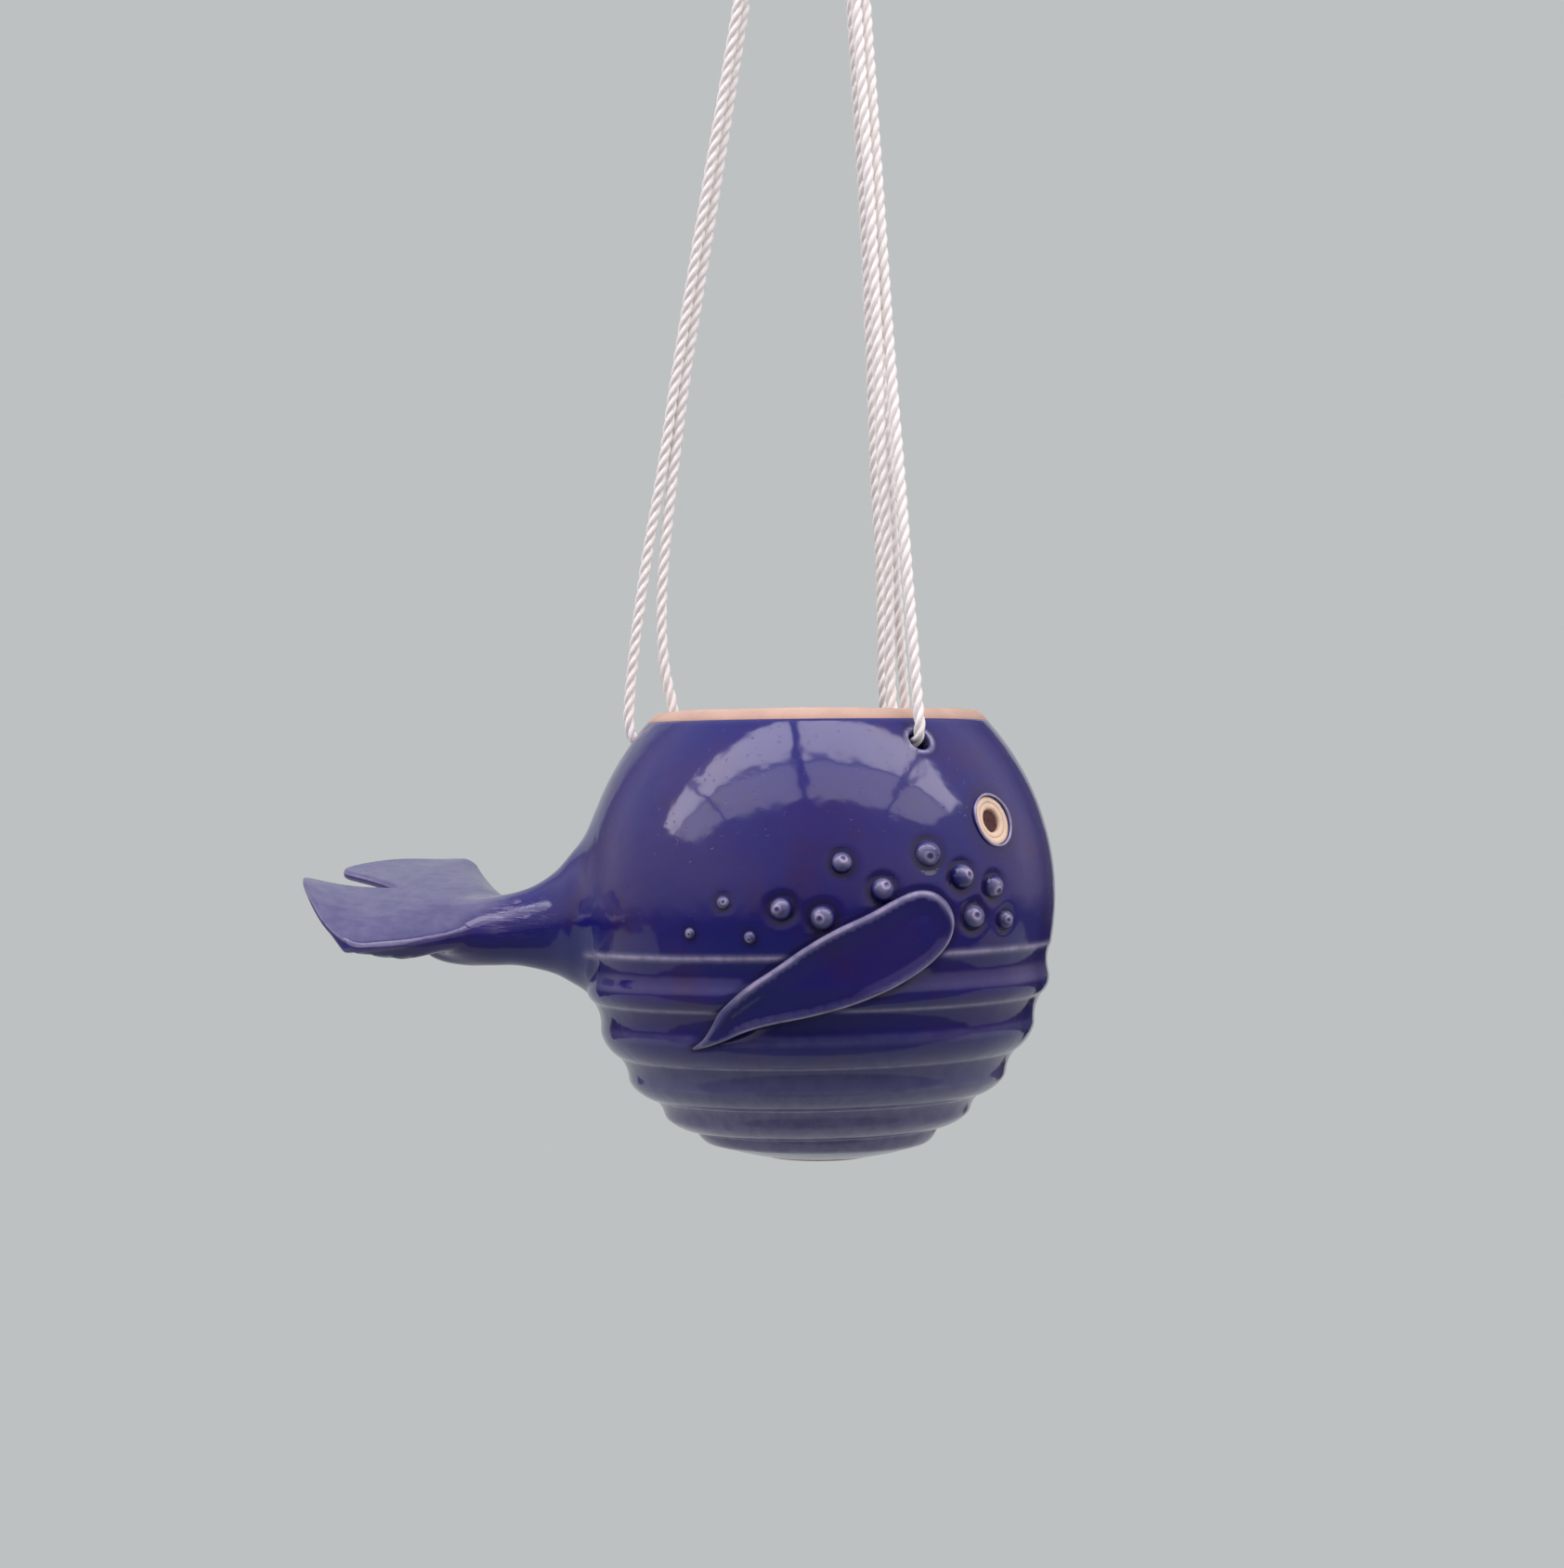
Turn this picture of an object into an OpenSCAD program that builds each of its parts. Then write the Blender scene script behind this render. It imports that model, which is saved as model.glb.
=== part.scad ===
// Hanging air plant holder: a glazed stoneware pot in the shape of a whale,
// hung on three doubled cords that meet in one knot under a small steel ring.
// Millimetres. The origin is the top inside of the ring, where a hook bears.
// +Z is up and +X is the way the whale faces.

/* [Pot] */
// Widest diameter of the thrown body
body_d = 120; // [110:1:130]
// Height from the foot to the top of the rim
pot_h = 112.5; // [110:0.5:116]
// Inside diameter of the mouth
mouth_d = 75; // [70:1:77]
// Wall thickness at the widest part
wall = 5.5; // [4:0.5:7]
// Radius of the arc that the shoulder follows
shoulder_r = 67; // [65:0.5:69]
// Depth of the widest part below the rim
belly_depth = 47.5; // [46:0.5:49]
// Height of the band of bare clay at the rim
rim_band = 2.8; // [2:0.1:3.5]
// Radius of the flat foot
foot_r = 13.5; // [12:0.5:15]
// Thickness of the bare clay foot
foot_t = 0.5; // [0.4:0.1:1]

/* [Throat rings] */
// Depth that each scooped band is pressed in
scoop_sag = 0.7; // [0.3:0.1:1]
// Height that each rounded band bulges out
ridge_bulge = 0.8; // [0.4:0.1:1]
// Flats along each band
band_steps = 5; // [3:1:8]

/* [Cord holes] */
// Diameter of each cord hole
hole_d = 4.8; // [4:0.1:6]
// Depth of the hole centres below the rim
hole_depth = 7.8; // [7:0.1:9]
// Angle of the two front holes from the side, towards the nose
hole_angle = 31; // [28:1:34]
// Diameter of the softened lip of each hole
hole_lip_d = 7.4; // [6:0.1:8]

/* [Eyes] */
// Angle of the eyes from the side, towards the nose
eye_angle = 49; // [45:1:53]
// Depth of the eye centres below the rim
eye_depth = 27.7; // [25:0.1:30]
// Upward tilt of the eyes
eye_tilt = 17; // [14:1:20]
// Diameter of the bare clay ring
eye_d = 12.4; // [11:0.1:14]
// Diameter of the pupil
pupil_d = 5.6; // [5:0.1:7]

/* [Fins] */
// How far a fin stands out from the body
fin_proud = 2.3; // [1.5:0.1:3]

/* [Tail] */
// Length of the flukes from their root to the back corners
fluke_len = 50; // [46:1:54]
// Half the span of the flukes
fluke_half = 35; // [32:1:38]
// Thickness of the flukes at their root
fluke_t = 4.8; // [4:0.1:6]
// Angle that the flukes turn away from the right side
fluke_yaw = 20; // [16:1:24]

/* [Cords and hanging] */
// Diameter of the twisted cord
cord_d = 2.7; // [2.5:0.1:2.8]
// Height of the rim below the hanging point
hang_drop = 348; // [346:1:350]
// Sideways place of the knot over the pot
knot_x = 1.4; // [1:0.1:2]
// Radius of the knot
knot_r = 8.5; // [8:0.1:8.6]
// Wire diameter of the steel ring
ring_wire = 2.5; // [2:0.1:2.6]
// Radius of the middle of the ring's wire
ring_r = 9; // [8.8:0.1:9.4]

/* [Hidden] */
$fn = 64;

belly_r = body_d / 2;
scale_r = body_d / 120;
scale_h = pot_h / 112.5;
mouth_r = mouth_d / 2;
embed = 0.6;
rim_z = -hang_drop;
cord_r = cord_d / 2;
tube_sides = 8;

// Radius and depth of the lines between the throat rings, from the belly down.
// The bands between them are scooped and rounded in turn.
ring_lines = [
    [59, 59.3], [58.4, 67], [56.4, 72.2], [54.8, 79.6], [49.9, 86.2],
    [47.6, 92.4], [40.9, 97.1], [38.5, 101.6], [30.7, 105.2], [28.3, 108.6]
];

// Outside radius of the shoulder and belly at a depth below the rim
function shoulder(d) = belly_r - shoulder_r
    + sqrt(shoulder_r * shoulder_r - pow(d - belly_depth, 2));

// Inside radius at a depth below the rim, thinner towards the mouth
inner_r = belly_r - wall;
inner_arc = (pow(inner_r - mouth_r, 2) + pow(belly_depth - 2, 2)) / (2 * (inner_r - mouth_r));
function inside(d) = inner_r - inner_arc + sqrt(inner_arc * inner_arc - pow(d - belly_depth, 2));

// Points from p to q along an arc that bulges to the left by sag
function band(p, q, sag, n) = [
    for (i = [0 : n - 1])
        let (t = i / n, u = q - p, s = 4 * sag * t * (1 - t) / norm(u))
            p + u * t + [u[1], -u[0]] * s
];

function ring_point(i) = [ring_lines[i][0] * scale_r, -ring_lines[i][1] * scale_h];

// Outer profile from the glaze line down to the foot
shoulder_end = ring_lines[0][1] * scale_h;
outer_top = [
    for (i = [0 : 20])
        let (d = rim_band + (shoulder_end - rim_band) * i / 20) [shoulder(d), -d]
];
outer_rings = [
    for (i = [0 : len(ring_lines) - 2])
        each band(ring_point(i), ring_point(i + 1), i % 2 == 0 ? scoop_sag : -ridge_bulge, band_steps)
];
foot_curve_r = 3;
foot_curve_h = 0.3;
foot_bevel = 1.5;
outer_foot = [
    ring_point(len(ring_lines) - 1),
    [foot_r + foot_curve_r, -pot_h + foot_t + foot_curve_h],
    [foot_r, -pot_h + foot_t]
];
outer_profile = concat(outer_top, outer_rings, outer_foot);

// Inner profile from the floor up to the mouth
inner_low = [[0, 106], [22, 104], [35, 97], [44, 87], [50.5, 75], [53, 66]];
inner_profile = concat(
    [for (p = inner_low) [p[0] * scale_r, -p[1] * scale_h]],
    [for (i = [0 : 14]) let (d = shoulder_end + (rim_band - shoulder_end) * i / 14) [inside(d), -d]]
);

// Smooth outline without the throat rings, which the fins lie on
smooth_top = 32;
smooth_low = [[58.4, 67], [56.4, 73], [54.4, 79.6], [50.6, 86.2]];
function smooth_outline(out) = concat(
    [for (i = [0 : 16]) let (d = smooth_top + (shoulder_end - smooth_top) * i / 16) [shoulder(d) + out, -d]],
    [for (p = smooth_low) [p[0] * scale_r + out, -p[1] * scale_h]]
);

// Direction and place on the pot at an angle from the right side
function out_dir(a) = [sin(a), -cos(a), 0];
function wall_tilt(d) = asin((belly_depth - d) / shoulder_r);

module at_rim() {
    translate([0, 0, rim_z])
        children();
}

// Put children on the outside of the shoulder, with +Z pointing out of the wall
module on_wall(a, d, tilt) {
    at_rim()
        translate(shoulder(d) * out_dir(a) - [0, 0, d])
            rotate([0, 0, a])
                rotate([90 - tilt, 0, 0])
                    children();
}

// ---- Thrown pot ----

hole_angles = [hole_angle, 180 - hole_angle, -90];
hole_inward = 12;
hole_outward = 4;
pocket_depth = 2.4;
pocket_cut = 8;

module pot_outside(shrink) {
    rotate_extrude($fn = 96)
        polygon(concat(
            [[0, -rim_band + shrink]],
            [for (p = outer_profile) p - [shrink, 0]],
            [[0, -pot_h + foot_t + shrink]]
        ));
}

module eye_pockets() {
    for (side = [0, 1])
        mirror([0, side, 0])
            translate([0, 0, -rim_z])
                on_wall(eye_angle, eye_depth, eye_tilt)
                    translate([0, 0, -pocket_depth])
                        cylinder(d = eye_d, h = pocket_cut);
}

module cord_holes() {
    tilt = wall_tilt(hole_depth);
    lip_h = (hole_lip_d - hole_d) / 2;
    for (a = hole_angles)
        translate([0, 0, -rim_z])
            on_wall(a, hole_depth, tilt) {
                translate([0, 0, -hole_inward])
                    cylinder(d = hole_d, h = hole_inward + hole_outward);
                translate([0, 0, -lip_h + 0.3])
                    cylinder(d1 = hole_d, d2 = hole_lip_d + 1, h = lip_h + 0.5);
            }
}

module pot_body() {
    color("midnightblue")
        at_rim()
            difference() {
                rotate_extrude($fn = 96)
                    polygon(concat(outer_profile, [[0, -pot_h + foot_t]], inner_profile));
                cord_holes();
                eye_pockets();
            }
}

module bare_rim() {
    edge_r = shoulder(rim_band);
    color("peachpuff")
        at_rim()
            rotate_extrude($fn = 96)
                polygon([
                    [mouth_r, -rim_band], [edge_r, -rim_band],
                    [edge_r - 1, -1.5], [edge_r - 1.9, -0.5], [edge_r - 2.9, -0.05],
                    [mouth_r + 1.6, 0], [mouth_r + 0.8, -0.4], [mouth_r + 0.2, -1.2]
                ]);
}

module bare_foot() {
    color("tan")
        at_rim()
            translate([0, 0, -pot_h])
                cylinder(r1 = foot_r - foot_bevel, r2 = foot_r, h = foot_t);
}

// ---- Tail ----

// Middle of each section of the tail stock below the rim, its half width,
// its half height, and how far it is turned and rolled
stock_sections = [
    [[-50, 0, -48], 33, 33, 0, 0],
    [[-54, 0, -47.8], 26.5, 27.5, 0, 0],
    [[-56, 0, -48.8], 23, 24, 0, 0],
    [[-58, 0.2, -50], 19.5, 21, 2, 0],
    [[-61, 0.5, -52], 15.8, 17.2, 4, 0],
    [[-65.7, 1, -53.5], 12.5, 13.3, 6, 2],
    [[-70.7, 1.8, -54.6], 11, 10.7, 10, 4],
    [[-76, 2.8, -55.2], 11, 9.2, 14, 8],
    [[-82, 4.4, -55.5], 12, 8.4, 18, 10],
    [[-89, 6.8, -55.4], 11.5, 7.8, 20, 8],
    [[-97, 9.7, -53.2], 8.5, 5.6, 20, 10],
    [[-104, 12.2, -50.2], 4, 2.6, 20, 12]
];

function stock_ring(s, n) =
    let (yaw = s[3], roll = s[4], across = [sin(yaw), cos(yaw), 0])
        [for (i = [0 : n - 1])
            let (
                a = 360 * i / n,
                u = s[1] * cos(a),
                v = s[2] * sin(a),
                du = u * cos(roll) - v * sin(roll),
                dv = u * sin(roll) + v * cos(roll)
            )
                s[0] + across * du + [0, 0, dv]];

// Skin a list of rings of equal length into one closed solid
module skin(rings) {
    n = len(rings[0]);
    last = len(rings) - 1;
    points = [for (r = rings) each r];
    sides = [
        for (j = [0 : last - 1], i = [0 : n - 1])
            let (a = j * n + i, b = j * n + (i + 1) % n)
                each [[a, b, b + n], [a, b + n, a + n]]
    ];
    ends = [
        [for (i = [0 : n - 1]) n - 1 - i],
        [for (i = [0 : n - 1]) last * n + i]
    ];
    polyhedron(points = points, faces = concat(sides, ends));
}

module tail_stock() {
    color("navy")
        at_rim()
            difference() {
                skin([for (s = stock_sections) stock_ring(s, 28)]);
                pot_outside(embed);
            }
}

// The flukes lie on a gently rolled sheet: s runs back from their root and
// v runs across, away from the right side
fluke_root = [-80, 3.5, -50.5];
fluke_roll = 0.26;
fluke_rise = 0.137;
fluke_droop = 0.00155;
fluke_cup = 0.0085;
notch_s = 0.6 * fluke_len;
level_s = 0.5 * fluke_len;
level_share = 0.68;

// The roll eases off behind level_s, and the tips curl up behind the notch
function past(s, start) = max(0, s - start) / (fluke_len - start);
function sheet_roll(s) = fluke_roll * (1 - level_share * pow(past(s, level_s), 2));
function sheet_cup(s) = fluke_cup * pow(past(s, notch_s), 2);
function sheet_z(s, v) = fluke_rise * s + sheet_roll(s) * v + (sheet_cup(s) - fluke_droop) * v * v;
function sheet_point(s, v, lift) = fluke_root
    + s * [-cos(fluke_yaw), sin(fluke_yaw), 0]
    + v * [sin(fluke_yaw), cos(fluke_yaw), 0]
    + [0, 0, sheet_z(s, v) + lift];

// Distance from the middle line to the outer and inner edge of each lobe at s
tip_s = 0.49 * fluke_len;
root_v = 9;
lobe_v = 13.5;
lobe_bow = 1.45;
gap_v = 7.2;
gap_bow = 0.8;
tip_thin = 1.5;
function fluke_outer(s) = s < tip_s
    ? root_v + (fluke_half - root_v) * (s / tip_s)
    : fluke_half - (fluke_half - lobe_v) * pow((s - tip_s) / (fluke_len - tip_s), lobe_bow);
function fluke_inner(s) = gap_v * pow(max(0, s - notch_s) / (fluke_len - notch_s), gap_bow);
function fluke_half_t(s) = (fluke_t - tip_thin * s / fluke_len) / 2;

// The leading edge is rolled down and thick, like the front of a wing: how far
// its top falls below the sheet, and how deep its underside lies at s
edge_drop = 3.2;
drop_s = 10.5;
drop_reach = 16;
keel_deep = 11.2;
keel_tip = 3.4;
keel_s = -2;
function lead_drop(s) = max(0, edge_drop * (1 - pow((s - drop_s) / drop_reach, 2)));
function keel(s) = s > tip_s
    ? fluke_half_t(s)
    : keel_deep - (keel_deep - keel_tip) * pow((s - keel_s) / (tip_s - keel_s), 2);

// Half of one closed section: the top edge outwards, then the underside back.
// The edges are thinned so that they look rounded.
across_steps = [0, 0.03, 0.12, 0.35, 0.65, 0.88, 0.97, 1];
across_thick = [0.35, 0.8, 1, 1, 1, 1, 0.8, 0.35];
across_fall = [0, 0, 0, 0, 0.25, 0.7, 0.95, 1];
across_keel = [0.25, 0.27, 0.35, 0.6, 0.95, 1, 0.65, 0.35];
last_step = len(across_steps) - 1;
function edge_thick(i, s) = i < 3 && s <= notch_s ? 1 : across_thick[i];
function half_section(s, v0, v1, side, thin) = [
    for (k = [0 : 2 * last_step + 1])
        let (
            i = k > last_step ? 2 * last_step + 1 - k : k,
            half_t = fluke_half_t(s) * edge_thick(i, s),
            top = half_t - lead_drop(s) * across_fall[i],
            low = half_t + (keel(s) - fluke_half_t(s)) * across_keel[i]
        )
            sheet_point(s, side * (v0 + (v1 - v0) * across_steps[i]), thin * (k > last_step ? -low : top))
];

// Stations along the flukes: distance back from the root, inner edge, outer
// edge, and how thin the sheet is there. The lobes part at the notch.
fluke_shares = [-0.08, 0, 0.12, 0.24, 0.36, 0.46, 0.49, 0.52, 0.6, 0.7, 0.8, 0.88, 0.94];
fluke_stations = concat(
    [for (f = fluke_shares) let (s = f * fluke_len) [s, fluke_inner(s), fluke_outer(s), f < 0 ? 0.6 : 1]],
    [[fluke_len - 1, 7.6, 15.2, 0.9], [fluke_len + 0.4, 9.2, 12.6, 0.5]]
);
split = search([notch_s], [for (t = fluke_stations) t[0]])[0];

// One closed sheet whose two halves share their middle line up to the notch
module tail_flukes() {
    n = 2 * last_step + 2;
    last = len(fluke_stations) - 1;
    points = [
        for (t = fluke_stations, side = [1, -1])
            each half_section(t[0], t[1], t[2], side, t[3])
    ];
    function at(j, half, i) =
        let (shared = j <= split && (i == 0 || i == n - 1))
            j * 2 * n + i + (half == 1 && !shared ? n : 0);
    function wound(half, face) = half == 0 ? [for (i = [len(face) - 1 : -1 : 0]) face[i]] : face;
    sides = [
        for (j = [0 : last - 1], half = [0, 1], i = [0 : n - 1])
            let (k = (i + 1) % n)
                if (i < n - 1 || j >= split)
                    each [
                        wound(half, [at(j, half, i), at(j, half, k), at(j + 1, half, k)]),
                        wound(half, [at(j, half, i), at(j + 1, half, k), at(j + 1, half, i)])
                    ]
    ];
    ends = [
        for (half = [0, 1])
            each [
                wound(half, [for (i = [n - 1 : -1 : 0]) at(0, half, i)]),
                wound(half, [for (i = [0 : n - 1]) at(last, half, i)])
            ]
    ];
    color("slateblue")
        at_rim()
            polyhedron(points = points, faces = concat(sides, ends));
}

// ---- Fins ----

// Outline of a fin seen from the side, from its round front back to the tip.
// Pairs are forward of the middle and above the rim.
fin_front = [22.5, -51];
fin_front_r = 7.6;
fin_chin = [24, -54];
fin_chin_r = 7;
fin_points = [
    [12, -48.9], [3, -52.8], [-4, -57], [-11, -61.9], [-16.5, -65.6], [-20, -69],
    [-24.4, -73.2], [-25.6, -75.6], [-30.4, -81.8],
    [-23.6, -79.8], [-17.3, -77], [-11.3, -75.2], [-2, -73.2], [8.4, -70.2],
    [18, -65.2], [25.6, -60]
];

module fin_outline() {
    union() {
        polygon(concat([[fin_front[0], -44.2]], fin_points));
        translate(fin_front)
            circle(r = fin_front_r);
        translate(fin_chin)
            circle(r = fin_chin_r);
    }
}

module right_fin() {
    color("mediumblue")
        at_rim()
            intersection() {
                rotate([90, 0, 0])
                    linear_extrude(height = 80)
                        fin_outline();
                rotate_extrude($fn = 96)
                    polygon(concat(
                        smooth_outline(fin_proud),
                        [for (i = [len(smooth_outline(0)) - 1 : -1 : 0]) smooth_outline(-embed)[i]]
                    ));
            }
}

module left_fin() {
    mirror([0, 1, 0])
        right_fin();
}

// ---- Eyes ----

lip_out = 0.4;
lip_sink = 0.2;
lip_wire = 0.8;
pupil_t = 0.8;

module eye_lip() {
    color("darkblue")
        on_wall(eye_angle, eye_depth, eye_tilt)
            rotate_extrude($fn = 48)
                translate([eye_d / 2 + lip_out, -lip_sink])
                    circle(r = lip_wire, $fn = 20);
}

module eye_ring() {
    color("wheat")
        on_wall(eye_angle, eye_depth, eye_tilt)
            rotate_extrude($fn = 48)
                polygon([
                    [pupil_d / 2, -pocket_depth], [eye_d / 2, -pocket_depth], [eye_d / 2, -0.9],
                    [pupil_d / 2 + 0.7, -0.7], [pupil_d / 2, -1.1]
                ]);
}

module pupil() {
    color("saddlebrown")
        on_wall(eye_angle, eye_depth, eye_tilt)
            translate([0, 0, -pocket_depth])
                cylinder(d = pupil_d, h = pupil_t, $fn = 48);
}

module right_eye_lip() { eye_lip(); }
module right_eye_ring() { eye_ring(); }
module right_pupil() { pupil(); }
module left_eye_lip() { mirror([0, 1, 0]) eye_lip(); }
module left_eye_ring() { mirror([0, 1, 0]) eye_ring(); }
module left_pupil() { mirror([0, 1, 0]) pupil(); }

// ---- Barnacles ----

// Angle from the side towards the nose, depth below the rim, and diameter.
// Each ball is pressed a tenth of its diameter deeper than its middle.
barnacle_sink = 0.1;
barnacles = [
    [5, 37, 5.3], [26, 35, 6.6], [14.3, 43.4, 6], [34.7, 40.5, 6.3],
    [44.4, 43, 5.5], [38, 50, 6], [48.5, 51, 4.6], [-8.7, 47.7, 5.5],
    [0.6, 49.8, 6], [-22.4, 46.4, 3.4], [-31, 53.8, 2.9], [-16, 54.4, 3.2]
];

module right_barnacles() {
    color("lightsteelblue")
        at_rim()
            for (b = barnacles)
                translate((shoulder(b[1]) - barnacle_sink * b[2]) * out_dir(b[0]) - [0, 0, b[1]])
                    sphere(d = b[2], $fn = 32);
}

module left_barnacles() {
    mirror([0, 1, 0])
        right_barnacles();
}

// ---- Cords ----

// Routes as [out from the middle of the pot, to the side, above the rim],
// down the outer leg, in through the hole and up the inner leg
front_route = [
    [4.1, 1.4, 288.8], [11.1, 1.4, 235], [18.3, 1.4, 180], [26.3, 1.4, 120],
    [30.6, 1.4, 88], [35.6, 1, 60], [40.4, 0.2, 36], [46.2, 0, 0],
    [46.9, 0, -4], [46.5, 0, -7], [44.9, 0, -8.3], [43.1, 0, -9.6],
    [41.3, 0, -10.4], [38.9, 0, -10.1], [37, 0, -8.8], [35.9, 0, -6],
    [34.2, 0, 4], [33.2, -0.4, 36], [31.6, -1.2, 60], [26.3, -1.4, 120],
    [18.3, -1.4, 180], [4.1, -1.4, 288.8]
];
tail_route = [
    [4.1, 1.4, 288.8], [20.4, 1.4, 180], [29.4, 1.2, 120], [36.4, 0.8, 81],
    [39.8, 0.4, 62], [43.4, 0, 39], [45.8, 0, 20], [47.4, 0, 4],
    [47.6, 0, -3], [46.6, 0, -7], [44.9, 0, -8.3], [43.1, 0, -9.6],
    [41.3, 0, -10.4], [38.9, 0, -10.1], [37, 0, -8.8], [35.9, 0, -6],
    [36.4, 0, 0], [38.8, 0, 12], [39.4, 0, 30], [34.2, -0.8, 81],
    [20, -1.4, 180], [4.1, -1.4, 288.8]
];

// A route point in the pot's frame, leaning with height towards the knot
function route_point(p, a) =
    p[0] * out_dir(a) + p[1] * [cos(a), sin(a), 0] + [knot_x * max(0, p[2]) / 289, 0, p[2]];

function unit(v) = v / norm(v);

// Rings square to the route, round a steady sideways direction
function tube_rings(pts, side, r) = [
    for (i = [0 : len(pts) - 1])
        let (
            before = pts[max(0, i - 1)],
            after = pts[min(len(pts) - 1, i + 1)],
            t = unit(after - before),
            u = unit(side - t * (side * t)),
            w = cross(t, u)
        )
            [for (k = [0 : tube_sides - 1])
                pts[i] + r * (cos(360 * k / tube_sides) * u + sin(360 * k / tube_sides) * w)]
];

module cord(route, a) {
    pts = [for (p = route) route_point(p, a)];
    color("white")
        at_rim()
            skin(tube_rings(pts, [cos(a), sin(a), 0], cord_r));
}

module cord_front_right() { cord(front_route, hole_angle); }
module cord_front_left() { cord([for (p = front_route) [p[0], -p[1], p[2]]], 180 - hole_angle); }
module cord_tail() { cord(tail_route, -90); }

// ---- Knot, loop and ring ----

ring_z = -(ring_r - ring_wire / 2);
wire_z = ring_z - ring_r;
knot_z = -50.3;
knot_top = 8;
loop_r = ring_wire / 2 + 0.35 + cord_r;

module top_knot() {
    flat = sqrt(knot_r * knot_r - knot_top * knot_top);
    color("ivory")
        translate([knot_x, 0, knot_z])
            rotate_extrude()
                polygon(concat(
                    [[0, -knot_r]],
                    [for (a = [-80 : 10 : 60]) knot_r * [cos(a), sin(a)]],
                    [[flat, knot_top], [0, knot_top]]
                ));
}

// The four cut ends lean out of the top of the knot
cut_end_len = 11;
module cord_ends() {
    color("linen")
        for (a = [0, 180], lean = [-24, 24])
            translate([knot_x, 0, knot_z])
                rotate([0, 0, a])
                    rotate([lean, 40, 0])
                        translate([0, 0, knot_r - 0.6])
                            cylinder(r = cord_r, h = cut_end_len, $fn = 20);
}

loop_route = [
    [-1.8, -42], [-3, -36.5], [-4.5, -29], [-4.1, -21],
    [-loop_r, wire_z], [-0.7 * loop_r, wire_z + 0.7 * loop_r], [0, wire_z + loop_r],
    [0.7 * loop_r, wire_z + 0.7 * loop_r], [loop_r, wire_z],
    [4.1, -21], [4.5, -29], [3, -36.5], [1.8, -42]
];

module hanging_loop() {
    pts = [for (p = loop_route) [knot_x * max(0, wire_z - p[1]) / (wire_z + 42), p[0], p[1]]];
    color("snow")
        skin(tube_rings(pts, [1, 0, 0], cord_r));
}

module steel_ring() {
    color("silver")
        translate([0, 0, ring_z])
            rotate([90, 0, 0])
                rotate_extrude()
                    translate([ring_r, 0])
                        circle(d = ring_wire, $fn = 24);
}

pot_body();
bare_rim();
bare_foot();
tail_stock();
tail_flukes();
right_fin();
left_fin();
right_eye_lip();
left_eye_lip();
right_eye_ring();
left_eye_ring();
right_pupil();
left_pupil();
right_barnacles();
left_barnacles();
cord_front_right();
cord_front_left();
cord_tail();
top_knot();
cord_ends();
hanging_loop();
steel_ring();
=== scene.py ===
# %% [markdown]
# # A hanging whale pot
# The object is a small hand-made planter: a thrown stoneware pot dressed up as a whale, glazed dark
# blue, and hung on three doubled cords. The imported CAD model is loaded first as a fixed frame. Every
# visible piece is then built again in the same place with the detail that glaze and cord really have.

# %% Load the frame
import math

import bpy
import numpy as np
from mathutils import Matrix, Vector, geometry, kdtree
from mathutils.bvhtree import BVHTree


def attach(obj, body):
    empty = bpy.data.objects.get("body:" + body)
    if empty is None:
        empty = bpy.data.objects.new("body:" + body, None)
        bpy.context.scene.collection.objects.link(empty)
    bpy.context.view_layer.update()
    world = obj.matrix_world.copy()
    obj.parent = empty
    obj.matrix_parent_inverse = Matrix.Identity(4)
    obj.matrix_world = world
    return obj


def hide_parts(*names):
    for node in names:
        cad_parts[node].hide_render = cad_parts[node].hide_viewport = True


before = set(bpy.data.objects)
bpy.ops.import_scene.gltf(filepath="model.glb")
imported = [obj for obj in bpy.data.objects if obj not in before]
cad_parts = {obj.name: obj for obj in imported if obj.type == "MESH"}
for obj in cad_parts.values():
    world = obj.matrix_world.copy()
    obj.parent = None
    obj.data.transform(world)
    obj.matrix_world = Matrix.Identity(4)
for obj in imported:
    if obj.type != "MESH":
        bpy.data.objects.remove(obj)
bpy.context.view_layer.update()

MM = 0.001
RIM = -348.0        # height of the rim below the hanging point, in mm


def smooth(a, b, x):
    """0 below a, 1 above b, and an even S between them."""
    t = np.clip((np.asarray(x, float) - a) / (b - a), 0, 1)
    return t * t * (3 - 2 * t)


def bell(x, at, width):
    """1 at one value of x, and an even fall to 0 on both sides of it."""
    return np.exp(-((x - at) / width) ** 2)


# %% [markdown]
# ## The camera
# The photo was taken level with the upper part of the pot, from 0.8 m away, looking straight at the
# whale's right side. The lens comes from the measured size of the frame at the pot, and the shift is
# the few pixels by which the horizon sits above the middle of the picture.

# %% Camera
HORIZON_SHIFT, PHOTO_HEIGHT = -4.5, 1688      # in pixels of the photo
cam_data = bpy.data.cameras.new("camera")
cam_data.lens = 73.365
cam_data.sensor_width = 36
cam_data.clip_start = 0.01
cam_data.clip_end = 20
cam_data.shift_y = HORIZON_SHIFT / PHOTO_HEIGHT
camera = bpy.data.objects.new("camera", cam_data)
camera.location = (-0.00892, -0.8077, -0.3655)
camera.rotation_euler = (math.pi / 2, 0, 0)
bpy.context.collection.objects.link(camera)
bpy.context.scene.camera = camera
bpy.context.scene.view_settings.view_transform = "Standard"


# %% [markdown]
# ## Small tools
# Every piece is a closed mesh given in millimetres. Materials are written with one short helper that
# adds a node, sets its sockets and returns it.

# %% Tools for meshes and materials
def new_object(name, data):
    obj = bpy.data.objects.new(name, data)
    bpy.context.collection.objects.link(obj)
    return obj


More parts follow.
